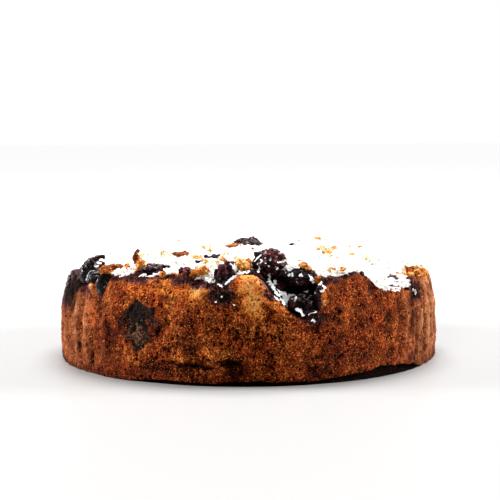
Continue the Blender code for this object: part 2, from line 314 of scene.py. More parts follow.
# angle, radius, height, half sizes across, through and up, turn, skin, number of drupelets, shrivelling
berries = {
    "berry_notch_back": (8.4, 0.0762, 0.0572, 0.0088, 0.0072, 0.0082, 12, "redSkin", 92, 0.0012),
    "berry_notch_upper": (18.0, 0.0850, 0.0510, 0.0086, 0.0066, 0.0058, -18, "darkSkin", 84, 0.0007),
    "berry_notch_lower": (17.0, 0.0955, 0.0388, 0.0082, 0.0062, 0.0054, 10, "blackSkin", 80, 0.0007),
    "berry_left_wall": (-70.5, 0.0974, 0.0382, 0.0122, 0.0042, 0.0124, 0, "leatherSkin", 16, 0.0010),
    "berry_left_top": (-61.0, 0.0950, 0.0500, 0.0054, 0.0056, 0.0062, 20, "smoothSkin", 10, 0.0010),
    "berry_left_tip": (-65.5, 0.0880, 0.0536, 0.0036, 0.0040, 0.0022, 40, "leatherSkin", 10, 0.0009),
    "berry_left_rim": (-54.8, 0.0955, 0.0474, 0.0043, 0.0056, 0.0050, 0, "greySkin", 8, 0.0008),
    "berry_left_smooth": (-48.6, 0.0968, 0.0460, 0.0048, 0.0056, 0.0066, -6, "smoothSkin", 8, 0.0006),
    "berry_front_flat": (-34.8, 0.0835, 0.0510, 0.0094, 0.0072, 0.0056, 14, "wineSkin", 40, 0.0016),
    "berry_front_middle": (-6.9, 0.0880, 0.0512, 0.0066, 0.0060, 0.0068, 30, "wineSkin", 44, 0.0014),
    "berry_front_small": (-19.5, 0.0540, 0.0545, 0.0066, 0.0058, 0.0056, -25, "darkSkin", 26, 0.0010),
    "berry_right_small": (51.7, 0.0945, 0.0454, 0.0034, 0.0040, 0.0034, 0, "redSkin", 18, 0.0008),
    "berry_middle": (180.0, 0.0200, 0.0567, 0.0094, 0.0078, 0.0060, 8, "darkSkin", 50, 0.0010),
    "berry_back_small": (150.5, 0.0530, 0.0553, 0.0070, 0.0062, 0.0048, 35, "darkSkin", 30, 0.0010),
    "berry_back_right": (124.0, 0.0830, 0.0475, 0.0088, 0.0074, 0.0066, -30, "wineSkin", 38, 0.0014),
    "berry_back_rim": (164.0, 0.0900, 0.0440, 0.0092, 0.0072, 0.0072, 15, "darkSkin", 40, 0.0014),
    "berry_back_left": (-150.0, 0.0760, 0.0495, 0.0094, 0.0076, 0.0066, 50, "redSkin", 40, 0.0014),
    "berry_back_far_left": (-119.0, 0.0880, 0.0450, 0.0084, 0.0072, 0.0068, -20, "darkSkin", 36, 0.0012),
    "berry_wall_front": (-6.4, 0.0984, 0.0420, 0.0066, 0.0044, 0.0048, 0, "sunkSkin", 30, 0.0010),
    "berry_wall_large": (-31.9, 0.0993, 0.0280, 0.0132, 0.0052, 0.0130, 0, "sunkSkin", 90, 0.0012),
    "berry_wall_right": (106.0, 0.0990, 0.0290, 0.0105, 0.0048, 0.0100, 0, "sunkSkin", 70, 0.0012),
    "berry_wall_back": (-164.0, 0.0994, 0.0240, 0.0110, 0.0048, 0.0090, 0, "sunkSkin", 70, 0.0012),
}


def angleBetween(angle, other):
    return (angle - other + 180.0) % 360.0 - 180.0


def bell(away):
    return np.exp(-(away**2))


def smoothStep(value):
    value = np.clip(value, 0.0, 1.0)
    return value * value * (3.0 - 2.0 * value)


def aroundCake(angle, radius, height):
    turn = np.radians(angle)
    return np.stack(np.broadcast_arrays(radius * np.sin(turn), -radius * np.cos(turn), height), axis=-1)


def angleOf(points):
    return np.degrees(np.arctan2(points[:, 0], -points[:, 1]))


def radiusOf(points):
    return np.hypot(points[:, 0], points[:, 1])


def spanTo(points, middle):
    return np.hypot(points[:, 0] - middle[0], points[:, 1] - middle[1])


def forEach(points, pattern):
    return np.array([pattern(point) for point in points.reshape(-1, 3).tolist()]).reshape(points.shape[:-1])


def noiseAt(points):
    return forEach(points, noise.noise)


def roughAt(points, octaves=4):
    return forEach(points, lambda point: noise.fractal(point, 0.8, 2.0, octaves))


def cellsAt(points):
    return forEach(points, lambda point: noise.voronoi(point)[0][0])


def notchDepth(angle):
    return np.interp(angleBetween(angle, 0.0), *zip(*cake["notchOutline"]))


def rimHeight(angle):
    height = cake["rimHeight"] - cake["backRimDrop"] * (1.0 - np.cos(np.radians(angle))) / 2.0
    for place, change, before, after in cake["rimShape"]:
        away = angleBetween(angle, place)
        height = height + change * bell(away / np.where(away < 0.0, before, after))
    spots = aroundCake(angle, cake["rimRipplesPerTurn"] / (2.0 * math.pi), 3.7)
    return height + cake["rimRipple"] * 1.6 * noiseAt(spots) - notchDepth(angle)


def listFolds():
    folds = list(cake["frontFolds"])
    first = folds[-1][0]
    span = 360.0 - first + folds[0][0]
    for number in range(1, cake["backFolds"]):
        shift = 0.35 * noise.noise((number * 1.37, 8.1, 0.0))
        strength = 0.75 + 0.9 * noise.noise((number * 0.83, 2.4, 5.0))
        folds.append((first + span * (number + shift) / cake["backFolds"], cake["backFoldHeight"] * strength))
    return folds


folds = listFolds()


def foldHeight(angle):
    total = 0.0
    for place, height in folds:
        away = np.abs(angleBetween(angle, place)) / cake["foldWidth"]
        ridge = np.exp(-away * away) - cake["foldGroove"] * np.exp(-((away - 1.6) ** 2))
        total = total + np.where(away < 3.0, height * ridge, 0.0)
    return total


def wallRadius(angle, height, foldShare=1.0):
    above = np.maximum(0.0, height - cake["leanStart"]) / (cake["rimHeight"] - cake["leanStart"])
    upright = cake["frontUpright"] * bell(angleBetween(angle, 0.0) / cake["frontSpread"])
    lean = cake["rimLean"] * (1.0 - upright) * above ** cake["leanPower"]
    lump = cake["wallLump"] * 1.6 * noiseAt(aroundCake(angle, cake["radius"], height) * cake["wallLumpScale"])
    return cake["radius"] - lean + lump + foldHeight(angle) * foldShare


def footInset(angle):
    return cake["footEdgeInset"] + sum(
        extra * bell(angleBetween(angle, place) / width) for place, extra, width in cake["footLifts"]
    )


def topHeight(points):
    radius, angle = radiusOf(points), angleOf(points)
    edge = cake["radius"] - cake["topEdgeInset"]
    nearness = smoothStep((radius / edge - 0.62) / 0.38)
    height = cake["rimHeight"] + (rimHeight(angle) + notchDepth(angle) - cake["rimHeight"]) * nearness
    height = height + cake["crownRise"] * np.maximum(0.0, 1.0 - (radius / edge) ** 3)
    height = height - notchDepth(angle) * bell(np.maximum(0.0, edge - radius) / cake["notchReach"])
    spots = (points + np.array([0.0, 0.0, 0.3])) * cake["topUnevenScale"]
    height = height + cake["topUneven"] * noiseAt(spots) * (1.0 - 0.7 * nearness)
    for lumpX, lumpY, rise, width in cake["topLumps"]:
        height = height + rise * bell(spanTo(points, (lumpX, lumpY)) / width) * (1.0 - 0.6 * nearness)
    for place, ring, _, across, through, *_ in berries.values():
        if ring + through < edge:
            away = spanTo(points, aroundCake(place, ring, 0.0)) / (across + cake["pitMargin"])
            height = height - cake["pitDepth"] * np.exp(-(away**4))
    return height


# the crust

crust = {
    "segments": 960,
    "footRows": 5,
    "sideRows": 55,
    "rimRows": 7,
    "topReach": 0.0965,  # radius of the top inside its rounded edge
    # rings of the top: outer radius, inner radius, step between rings, segments
    "topBands": (
        (0.0965, 0.0905, 0.0009, 960), (0.0905, 0.054, 0.00125, 480), (0.054, 0.028, 0.0014, 240),
        (0.028, 0.014, 0.0016, 120), (0.014, 0.006, 0.0018, 60), (0.006, 0.002, 0.002, 30),
    ),
    "baseShares": (0.95, 0.8, 0.62, 0.4, 0.2),  # of the foot's radius, for the rings under the cake
    "footInset": 0.0003,
    "footFolds": 0.3,  # how much of the folds is left at the foot
    "foldsWhole": 0.016,  # the height from which all of it shows
    "footHollow": 0.0030,  # how far the side is hollowed under a lifted lip
    # share of that depth and share of the lip's height of each ring under it
    "hollowRings": ((0.0004, 0.0), (1.0, 0.30), (1.05, 0.78)),
    # angle, height and width of each stretch of lip that has come up from the ground
    "lips": (
        (-22.0, 0.0018, 14.0), (2.0, 0.0027, 12.0), (30.0, 0.003, 14.0), (41.5, 0.0034, 8.0),
        (50.0, 0.003, 6.0), (57.0, 0.0022, 3.2), (110.0, 0.0016, 12.0), (150.0, 0.0024, 18.0),
        (-165.0, 0.0018, 9.0), (-125.0, 0.0022, 15.0), (-80.0, 0.0012, 10.0),
    ),
    "rimJag": 0.0011,
    "rimJagScale": 210.0,
    "crumb": 0.00016,
    "crumbScale": 480.0,
    "lumps": 0.00042,
    "lumpScale": 150.0,
    "pits": 0.00085,
    "pitScale": 360.0,
    "pitWarp": 0.9,
    "pitWarpScale": 420.0,
    "pitSize": (0.27, 0.16, 0.12),  # usual, how much it varies, softness of its edge
    "topLumps": 0.0011,
    "topLumpScale": 210.0,
    "pleats": 0.00022,
    "shallowPleats": (68.0, 8.0),  # angle and half angle of a stretch where they are shallower
    "smoothFront": 2.0,  # angle of the middle of the front, which has no pleats
    "pleatsFrom": (34.0, 14.0),  # degrees from there, and how many until they are whole
    "pressedFrom": (40.0, 22.0),  # the same where the liner has pressed the crumb smooth and its folds carry a painted highlight
    "slitWaver": 0.0008,
    "sunkDepth": 0.0020,
    # berry under the wall, then degrees and share of its height from its middle to where the wall has sunk
    "sunken": (
        ("berry_wall_large", -1.6, 0.45), ("berry_wall_front", 0.0, 0.0),
        ("berry_wall_right", -1.6, 0.45), ("berry_wall_back", -1.6, 0.45),
    ),
    "patchWaver": (1.9, 0.0019, 130.0),  # degrees, height and scale of the patches' ragged edges
    # angle, height, half angle, half height, depth of slits in the wall
    "slits": (
        (-16.3, 0.0097, 3.3, 0.0009, 0.0024), (-5.4, 0.0117, 2.3, 0.0009, 0.0024),
        (-10.8, 0.009, 1.6, 0.0007, 0.0018), (-57.9, 0.0127, 0.6, 0.0022, 0.0008),
        (-21.5, 0.0112, 1.3, 0.0007, 0.0014), (100.0, 0.011, 2.6, 0.0006, 0.0011),
        (-140.0, 0.013, 2.9, 0.0006, 0.0012), (170.0, 0.01, 2.2, 0.0006, 0.001),
    ),
}

patches = {
    # angle, height, half angle, half height, strength of each paler patch of the wall
    "golden": (
        (-22.8, 0.0462, 11.0, 0.005, 0.62), (-34.8, 0.0458, 5.0, 0.0055, 0.35),
        (-52.1, 0.0305, 3.2, 0.0085, 0.4), (-55.0, 0.0455, 2.0, 0.0035, 0.9),
        (1.2, 0.0518, 4.4, 0.005, 2.7), (-2.4, 0.0475, 2.0, 0.0045, 0.5), (21.2, 0.045, 1.4, 0.005, 0.8),
        (-11.2, 0.0222, 1.1, 0.002, 0.65), (-11.0, 0.015, 1.8, 0.003, 0.45),
        (16.2, 0.0258, 3.0, 0.0028, 0.55), (-15.4, 0.047, 2.8, 0.004, 0.95),
        (3.0, 0.0418, 3.8, 0.0054, 2.05), (6.6, 0.038, 2.2, 0.0032, 0.7), (24.6, 0.0395, 1.8, 0.004, 0.4),
        (27.0, 0.036, 5.0, 0.006, 0.35), (36.0, 0.044, 4.0, 0.004, 0.55), (-42.0, 0.04, 3.0, 0.005, 0.45),
        (10.5, 0.0215, 2.0, 0.003, 0.3), (60.0, 0.047, 3.0, 0.004, 0.5), (72.0, 0.047, 6.0, 0.004, 0.6),
        (-26.0, 0.037, 7.0, 0.004, 0.35), (110.0, 0.045, 9.0, 0.005, 0.6), (140.0, 0.043, 6.0, 0.006, 0.6),
        (-90.0, 0.04, 7.0, 0.005, 0.5), (-135.0, 0.043, 8.0, 0.005, 0.6), (178.0, 0.035, 7.0, 0.007, 0.45),
        (-105.0, 0.018, 6.0, 0.005, 0.4), (85.0, 0.03, 4.0, 0.007, 0.4), (4.0, 0.0395, 7.0, 0.008, 0.25),
        (-14.5, 0.0435, 3.0, 0.005, 0.45), (-24.0, 0.03, 3.4, 0.009, 0.5), (-32.0, 0.015, 4.5, 0.005, 0.65),
        (3.0, 0.03, 7.0, 0.006, 0.45), (15.5, 0.031, 3.5, 0.0035, 0.35), (15.5, 0.0205, 3.5, 0.004, 0.35),
        (-8.5, 0.014, 3.4, 0.007, 0.5), (8.5, 0.006, 3.5, 0.003, 0.35), (67.0, 0.033, 5.0, 0.015, 0.45),
        (-56.0, 0.041, 2.6, 0.006, 0.45), (8.0, 0.029, 3.0, 0.004, 0.4), (0.0, 0.012, 3.5, 0.003, 0.4),
        (-22.0, 0.0125, 4.0, 0.003, 0.35), (24.0, 0.0262, 2.5, 0.003, 0.35),
        (-64.0, 0.026, 3.0, 0.004, 0.4), (15.0, 0.03, 3.0, 0.003, 0.3), (-20.0, 0.0112, 5.0, 0.0032, 0.55),
        (-57.0, 0.0465, 2.5, 0.003, 1.0), (-12.0, 0.0465, 4.0, 0.003, 0.75),
        (0.0, 0.0355, 4.0, 0.0028, 0.55), (9.2, 0.0392, 1.6, 0.002, 0.45), (10.6, 0.0368, 2.6, 0.0026, 0.6),
        (17.5, 0.035, 3.0, 0.0024, 0.5), (32.0, 0.0405, 3.0, 0.003, 0.3), (56.0, 0.0415, 2.5, 0.003, 0.4),
        (20.8, 0.043, 1.0, 0.0045, 0.5), (56.0, 0.013, 3.0, 0.0045, 0.45),
        (24.0, 0.0155, 2.5, 0.0035, 0.35), (48.0, 0.046, 4.0, 0.0028, 0.4),
    ),
    # darker patches of the wall, the same way; the narrow one at 80 degrees is painted shade in a crease
    "darker": (
        (-31.9, 0.0285, 7.0, 0.0125, 0.45), (106.0, 0.029, 5.6, 0.0098, 0.45),
        (-164.0, 0.024, 5.8, 0.0088, 0.45), (-37.5, 0.0255, 2.4, 0.003, 0.5),
        (-25.5, 0.0245, 2.4, 0.004, 0.5), (3.3, 0.0268, 1.1, 0.0062, 0.85), (-2.1, 0.01, 3.6, 0.006, 0.75),
        (5.8, 0.0095, 2.4, 0.005, 0.6), (-27.0, 0.0095, 5.5, 0.005, 0.75), (18.8, 0.006, 2.6, 0.0028, 0.6),
        (-4.5, 0.007, 2.6, 0.005, 0.6), (33.2, 0.0404, 2.0, 0.0045, 0.6), (43.9, 0.03, 2.0, 0.004, 0.55),
        (43.1, 0.0225, 2.0, 0.0032, 0.5), (56.5, 0.025, 1.6, 0.013, 0.55), (17.4, 0.029, 4.6, 0.0034, 0.8),
        (-44.4, 0.019, 2.4, 0.013, 0.45), (-16.1, 0.043, 1.4, 0.009, 0.4), (-1.2, 0.0307, 1.2, 0.009, 0.3),
        (29.2, 0.0384, 2.2, 0.004, 0.35), (-12.5, 0.011, 9.0, 0.005, 0.2),
        (-17.4, 0.0087, 4.0, 0.0035, 0.45), (-38.5, 0.03, 2.2, 0.003, 0.6), (-24.5, 0.03, 2.4, 0.004, 0.5),
        (80.0, 0.035, 1.2, 0.014, 0.6), (120.0, 0.012, 6.0, 0.005, 0.6), (150.0, 0.014, 5.0, 0.006, 0.6),
        (-95.0, 0.012, 6.0, 0.005, 0.6), (-120.0, 0.025, 3.0, 0.006, 0.6), (-150.0, 0.011, 6.0, 0.005, 0.6),
        (178.0, 0.012, 6.0, 0.005, 0.5), (-65.0, 0.036, 4.5, 0.008, 0.75),
        (-40.0, 0.0165, 3.5, 0.008, 0.28), (-16.0, 0.0185, 3.0, 0.004, 0.25),
        (25.0, 0.038, 3.0, 0.007, 0.6), (24.5, 0.015, 3.5, 0.006, 0.6), (32.0, 0.0115, 5.0, 0.0045, 0.45),
        (32.0, 0.028, 4.0, 0.005, 0.25), (44.0, 0.011, 7.0, 0.004, 0.45), (56.5, 0.039, 2.0, 0.007, 0.8),
        (63.0, 0.039, 2.0, 0.004, 0.45), (-48.0, 0.0345, 3.0, 0.007, 0.45), (55.5, 0.006, 3.0, 0.003, 0.4),
        (24.0, 0.0255, 3.5, 0.011, 0.35), (56.5, 0.039, 2.2, 0.007, 0.5), (-64.0, 0.0455, 3.5, 0.004, 0.7),
        (-40.0, 0.0415, 3.0, 0.004, 0.55), (-32.0, 0.0455, 4.0, 0.004, 0.22),
        (16.0, 0.0405, 2.5, 0.004, 0.4), (34.0, 0.046, 4.0, 0.003, 0.35), (57.0, 0.007, 4.0, 0.0035, 0.35),
        (-24.0, 0.006, 3.0, 0.003, 0.35), (-16.0, 0.021, 3.0, 0.0035, 0.2),
        (-41.0, 0.0225, 2.5, 0.007, 0.4), (64.0, 0.04, 4.0, 0.007, 0.85), (24.0, 0.0105, 3.0, 0.003, 0.35),
        (16.0, 0.0415, 2.5, 0.003, 0.35), (16.0, 0.0262, 3.0, 0.0028, 0.4), (40.0, 0.046, 3.0, 0.003, 0.95),
        (-40.0, 0.006, 4.0, 0.003, 0.35), (-16.0, 0.016, 2.5, 0.0025, 0.3),
        (48.0, 0.0335, 3.0, 0.004, 0.25), (-24.0, 0.029, 3.0, 0.004, 0.2), (32.0, 0.021, 3.0, 0.0025, 0.25),
        (5.6, 0.036, 1.7, 0.004, 1.8), (28.2, 0.048, 3.0, 0.004, 0.45), (21.6, 0.0355, 1.5, 0.003, 0.6),
        (26.8, 0.0345, 2.6, 0.0034, 0.55), (6.8, 0.0345, 2.0, 0.0028, -0.3), (64.0, 0.006, 4.0, 0.003, 0.3),
        (-64.0, 0.031, 3.0, 0.0035, 0.35),
    ),
    # the same where juice has soaked in, and where the wall is scorched
    "juicy": (
        (-56.0, 0.04, 2.4, 0.004, 0.55), (-60.0, 0.044, 5.0, 0.004, 0.9), (-48.0, 0.04, 2.0, 0.004, 0.45),
        (-70.0, 0.04, 5.5, 0.011, 1.0), (-80.0, 0.041, 9.0, 0.013, 1.1), (5.4, 0.05, 1.4, 0.004, 1.0),
        (6.4, 0.0465, 1.3, 0.0036, 0.9), (7.8, 0.044, 1.1, 0.002, 0.8), (-7.0, 0.044, 4.4, 0.005, 0.75),
        (-17.0, 0.0505, 4.0, 0.003, 0.6), (17.4, 0.0318, 4.0, 0.0032, 0.75),
        (21.5, 0.033, 2.5, 0.003, 0.45), (20.0, 0.034, 1.6, 0.0024, 0.3), (14.6, 0.0332, 1.6, 0.0022, 0.6),
        (60.0, 0.041, 2.7, 0.0078, 1.0), (48.0, 0.044, 1.6, 0.002, 0.5), (38.0, 0.044, 4.0, 0.003, 0.55),
        (163.0, 0.042, 4.0, 0.006, 0.85), (-119.0, 0.043, 4.5, 0.006, 0.8), (132.0, 0.047, 4.0, 0.004, 0.6),
        (-148.0, 0.048, 4.0, 0.0035, 0.6),
    ),
    "charred": (
        (-6.6, 0.0446, 2.5, 0.0028, 0.95), (-8.9, 0.0457, 1.3, 0.0018, 0.7),
        (-4.2, 0.0446, 1.3, 0.0018, 0.7), (-7.4, 0.0423, 1.2, 0.0014, 0.6),
        (14.4, 0.0334, 2.5, 0.0018, 0.3), (17.8, 0.0322, 3.0, 0.0022, 0.3),
        (20.7, 0.0339, 1.6, 0.0022, 0.35), (19.6, 0.03, 1.8, 0.002, 0.28), (-50.5, 0.0465, 1.4, 0.004, 0.9),
    ),
    # the same where a berry lies just under the wall, measured from the berry's middle
    "charredLobes": (
        (-2.3, 0.0088, 2.0, 0.003, 1.0), (0.7, 0.0087, 2.4, 0.0028, 0.9), (-0.5, 0.0118, 1.0, 0.0012, 0.8),
        (-4.3, 0.0045, 1.2, 0.0036, 0.9), (-3.7, -0.0025, 1.0, 0.0042, 0.9),
        (-1.9, 0.002, 2.6, 0.0075, 0.62), (0.0, -0.0045, 3.0, 0.006, 0.55),
        (0.0, -0.0098, 1.6, 0.0028, 0.95), (2.7, -0.0046, 1.2, 0.0024, 1.0), (1.4, 0.004, 1.6, 0.005, 0.85),
        (4.3, 0.0065, 1.1, 0.003, 0.65), (4.9, 0.002, 1.1, 0.0036, 0.65), (6.2, -0.0012, 1.0, 0.0018, 0.6),
        (-6.8, 0.001, 0.9, 0.0016, 1.0),
    ),
    # and for the brown crumb that still shows in the middle of those
    "ashLobes": (
        (-0.2, -0.002, 2.0, 0.0058, 1.0), (1.8, 0.004, 0.8, 0.004, 0.9), (2.8, 0.0005, 1.0, 0.003, 0.6),
    ),
    # angle, half angle, extra width of the dark band along the rim
    "rimStains": (
        (-37.0, 10.0, 0.0017), (-18.0, 7.0, 0.0017), (-7.0, 3.0, 0.0012), (0.0, 3.4, -0.001),
        (12.0, 5.0, -0.0008), (33.0, 7.0, 0.0014), (49.0, 5.0, 0.0016), (68.0, 9.0, -0.0012),
        (100.0, 12.0, 0.0008), (160.0, 10.0, 0.0014), (-119.0, 8.0, 0.0014),
    ),
    "mostGolden": 2.1,  # where golden patches overlap, they stay under this
    "rimStain": (0.0011, 0.0006, 0.0002),  # its usual width, how much that varies, the least it can be
    "inNotch": (0.003, 0.070, 0.008),  # depth from which the notch is all stained and painted with shade, radius, softness
    "behindPeak": (0.0, 7.0, 0.081, 0.004),  # angle, half angle, radius, softness of the darker stretch behind the peak, coloured as soaked crumb
    "topEdge": (0.0905, 0.003),  # radius and softness of the stained edge of the top
    "cleanEdge": (71.0, 20.0),  # angle and half angle where that edge has no stain
    # the berries under the wall, the size of their patches, and a minus where that is mirrored
    "wallBerries": (("berry_wall_large", 1.0), ("berry_wall_right", -0.8), ("berry_wall_back", 0.8)),
}


def overBerries(kind):
    found = []
    for name, mirror in patches["wallBerries"]:
        place, _, level, *_ = berries[name]
        size = abs(mirror)  # a minus turns the patch round
        for shift, rise, half, halfHeight, strength in patches[kind]:
            middle = (place + mirror * shift, level + size * rise)
            found.append((*middle, size * half, size * halfHeight, strength))
    return found


def spotsAt(spots, angle, height):
    total = 0.0
    for place, level, halfAngle, halfHeight, strength in spots:
        away = (angleBetween(angle, place) / halfAngle) ** 2 + ((height - level) / halfHeight) ** 2
        total = total + strength * np.exp(-(away**1.5))
    return total


def linkRings(counts):
    faces = []
    starts = np.concatenate(([0], np.cumsum(counts))).tolist()
    for ring in range(len(counts) - 1):
        count, following = counts[ring], counts[ring + 1]
        outer, inner = starts[ring], starts[ring + 1]
        if following == count:
            faces += [
                (outer + i, outer + (i + 1) % count, inner + (i + 1) % count, inner + i) for i in range(count)
            ]
        elif following == 1:
            faces += [(outer + i, outer + (i + 1) % count, inner) for i in range(count)]
        else:
            for i in range(following):
                first, middle, last = outer + 2 * i, outer + 2 * i + 1, outer + (2 * i + 2) % count
                near, after = inner + i, inner + (i + 1) % following
                faces += [(first, middle, near), (middle, after, near), (middle, last, after)]
    return faces


def wallRing(angle, height, inset):
    share = crust["footFolds"] + (1.0 - crust["footFolds"]) * smoothStep(height / crust["foldsWhole"])
    return aroundCake(angle, wallRadius(angle, height, share) - inset, height)


def quarterTurn(rows):
    return [0.5 * math.pi * row / rows for row in range(rows + 1)]


def crustRings():
    segments = crust["segments"]
    angle = np.arange(segments) * 360.0 / segments
    jagged = aroundCake(angle, cake["radius"], 0.0) * crust["rimJagScale"]
    rim = rimHeight(angle) + crust["rimJag"] * roughAt(jagged + 5.0, 3)
    lift = sum(rise * bell(angleBetween(angle, place) / width) for place, rise, width in crust["lips"])
    lift = np.maximum(0.0, lift * (1.0 + 0.30 * roughAt(jagged * 0.5 + 9.0, 3)) - 0.0002)
    inset = crust["footInset"] + 0.1 * (footInset(angle) - cake["footEdgeInset"])
    foot = wallRadius(angle, 0.0 * angle, crust["footFolds"])
    rings = []
    for depth, share in crust["hollowRings"]:
        under = foot - inset - depth * crust["footHollow"] * smoothStep(lift / 0.0012)
        rings.append(aroundCake(angle, under, lift * share))
    for turn in quarterTurn(crust["footRows"]):
        height = lift + cake["footEdgeHeight"] * (1.0 - math.cos(turn))
        rings.append(wallRing(angle, height, inset * (1.0 - math.sin(turn))))
    low, high = lift + cake["footEdgeHeight"], rim - cake["rimEdgeHeight"]
    for row in range(1, crust["sideRows"]):
        rings.append(wallRing(angle, low + (high - low) * row / crust["sideRows"], 0.0))
    for turn in quarterTurn(crust["rimRows"]):
        height = rim - cake["rimEdgeHeight"] * (1.0 - math.sin(turn))
        rings.append(wallRing(angle, height, cake["rimEdgeInset"] * (1.0 - math.cos(turn))))
    wallRings = len(rings)
    crest, crestHeight = radiusOf(rings[-1]), rings[-1][:, 2]
    for outer, inner, step, segments in crust["topBands"]:
        steps = max(1, round((outer - inner) / step))
        angle = np.arange(segments) * 360.0 / segments
        reach, level = (values[:: crust["segments"] // segments] for values in (crest, crestHeight))
        for number in range(1, steps + 1):
            share = (outer + (inner - outer) * number / steps) / crust["topReach"]
            points = aroundCake(angle, reach * share, 0.0)
            points[:, 2] = level + (topHeight(points) - level) * smoothStep((1.0 - share) / 0.05)
            rings.append(points)
    peak = np.zeros((1, 3))
    peak[:, 2] = topHeight(peak)
    return [*rings, peak], wallRings


def baseRings(first):
    rings = []
    for number, share in enumerate(crust["baseShares"]):
        ring = first[:: 2 ** (number + 1)] * share
        ring[:, 2] = 0.0
        rings.append(ring)
    return [*rings, np.zeros((1, 3))]


def meshFrom(name, points, faces):
    data = bpy.data.meshes.new(name)
    data.from_pydata(points.tolist(), [], faces)
    data.shade_smooth()
    made = bpy.data.objects.new(name, data)
    scene.collection.objects.link(made)
    return made


def vectorsOf(rows, kind):
    out = np.empty(len(rows) * 3)
    rows.foreach_get(kind, out)
    return out.reshape(-1, 3)


def keepValue(data, name, values):
    layer = data.attributes.new(name, "FLOAT", "POINT")
    layer.data.foreach_set("value", np.ascontiguousarray(values, dtype=np.float32))


def makeCrust():
    upper, wallRings = crustRings()
    lower = baseRings(upper[0])
    segments = crust["segments"]
    start = sum(len(ring) for ring in lower)
    points = np.concatenate([*reversed(lower), *upper])
    order, first = [np.arange(segments) + start], start  # the base is linked from its edge inwards
    for ring in lower:
        first -= len(ring)
        order.append(np.arange(len(ring)) + first)
    order = np.concatenate(order).tolist()
    baseFaces = linkRings([segments, *[len(ring) for ring in lower]])
    faces = [tuple(order[i] for i in reversed(face)) for face in baseFaces]
    faces += [tuple(i + start for i in face) for face in linkRings([len(ring) for ring in upper])]
    made = meshFrom("crust", points, faces)
    onWall, onTop, hollow = np.zeros((3, len(points)))
    # the rings under a lifted lip and the lowest ring of the foot, darkened in the finish as painted shade
    hollow[start : start + segments * 3] = 1.0
    hollow[start + segments * 3 : start + segments * 4] = 0.6
    onWall[start + segments * 4 : start + segments * wallRings] = 1.0
    onTop[start + segments * wallRings :] = 1.0
    return made, onWall, onTop, hollow


coating = {  # where the coconut lies
    "reach": 0.0935,  # the radius that it covers
    "wander": 0.0022,
    "wanderScale": 90.0,
    "thickness": 1.10,
    "patchy": 0.45,
    "patchScale": 55.0,
    "softEdge": 0.0035,
    # angle, half angle, how far it reaches past its usual edge
    "spills": (
        (-7.5, 6.0, 0.005), (44.0, 6.5, 0.0074), (51.5, 4.5, 0.0076), (1.0, 4.5, -0.0026),
        (30.0, 6.0, 0.0024), (-20.0, 5.0, -0.0036), (-33.0, 7.0, 0.003), (57.0, 3.0, 0.0048),
        (95.0, 12.0, 0.0036), (80.0, 8.0, 0.0048), (66.0, 6.0, 0.0022), (-92.0, 12.0, 0.005),
        (150.0, 16.0, 0.003), (-150.0, 14.0, 0.0036), (-105.0, 8.0, 0.002),
    ),
    "bareNotch": (2.5, 23.0, 3.0, 0.93),  # from and to this angle, softness, strength
    "bareNotchFrom": (0.076, 0.005),  # radius, softness
    # angle, half angle, gain, radius where it starts, softness, strength of other bare stretches
    "bare": ((-60.0, 12.5, 1.6, 0.083, 0.006, 0.85), (1.2, 6.2, 1.0, 0.079, 0.006, 0.92)),
}


def coconutCover(points):
    angle, radius = angleOf(points), radiusOf(points)
    reach = coating["reach"] + coating["wander"] * noiseAt(points * coating["wanderScale"] + 8.0)
    for place, half, further in coating["spills"]:
        reach = reach + further * bell(angleBetween(angle, place) / half)
    cover = coating["thickness"] + coating["patchy"] * roughAt(points * coating["patchScale"] + 3.0, 3)
    cover = cover * smoothStep((reach - radius) / coating["softEdge"])
    for x, y, _, width in cake["topLumps"]:
        away = spanTo(points, (x, y)) / width
        cover = cover * (1.0 - 0.8 * np.exp(-(away**2) * 1.4))
    left, right, soft, strength = coating["bareNotch"]
    bare = smoothStep((angle - left) / soft) * smoothStep((right - angle) / soft)
    start, soft = coating["bareNotchFrom"]
    cover = cover * (1.0 - strength * (bare * smoothStep((radius - start) / soft)))
    for place, half, gain, start, soft, strength in coating["bare"]:
        spot = np.clip(gain * bell(angleBetween(angle, place) / half), 0.0, 1.0)
        cover = cover * (1.0 - strength * (spot * smoothStep((radius - start) / soft)))
    for place, ring, _, across, *_ in berries.values():
        margin = 0.0012 if across > 0.005 else -0.0012
        away = spanTo(points, aroundCake(place, ring, 0.0)) / (across + margin)
        cover = cover * (1.0 - np.exp(-(away**6)))
    return np.clip(cover, 0.0, 1.2)


def pitsAt(points):
    warp = np.stack([noiseAt(points * crust["pitWarpScale"] + 11.0 * axis) for axis in range(3)], axis=-1)
    nearest = cellsAt(points * crust["pitScale"] + crust["pitWarp"] * warp)
    usual, vary, soft = crust["pitSize"]
    return np.clip((usual + vary * noiseAt(points * 130.0) - nearest) / soft, 0.0, 1.0)


def pleatsAt(points, angle, height):
    wavering = angle + 0.8 * noiseAt(points * np.array([60.0, 60.0, 25.0]))
    pleat = noiseAt(np.stack((wavering * 0.72, height * 18.0, np.full_like(height, 2.0)), axis=-1))
    place, half = crust["shallowPleats"]
    return pleat * (1.0 - 0.6 * bell(angleBetween(angle, place) / half))


def slitsAt(points, angle, height):
    slit = np.zeros(len(points))
    for place, level, halfAngle, halfHeight, depth in crust["slits"]:
        bent = height - level - crust["slitWaver"] * noiseAt(points * 180.0)
        away = (angleBetween(angle, place) / halfAngle) ** 2 + (bent / halfHeight) ** 2
        slit = np.maximum(slit, depth * np.exp(-away))
    return slit


def sunkenAt(points, angle, height):
    sunk = 0.0
    for name, shift, rise in crust["sunken"]:
        place, _, level, across, _, up, *_ = berries[name]
        place, level = place + shift, level + rise * up
        beside = np.radians(angleBetween(angle, place)) * cake["radius"] / across
        away = np.sqrt(beside**2 + ((height - level) / up) ** 2) + 0.75 * roughAt(points * 190.0 + 2.0, 3)
        sunk = sunk + smoothStep((0.30 - away) / 0.25)
    return sunk


def inNotch(angle, radius):
    depth, start, soft = patches["inNotch"]
    return smoothStep(notchDepth(angle) / depth) * smoothStep((radius - start) / soft)


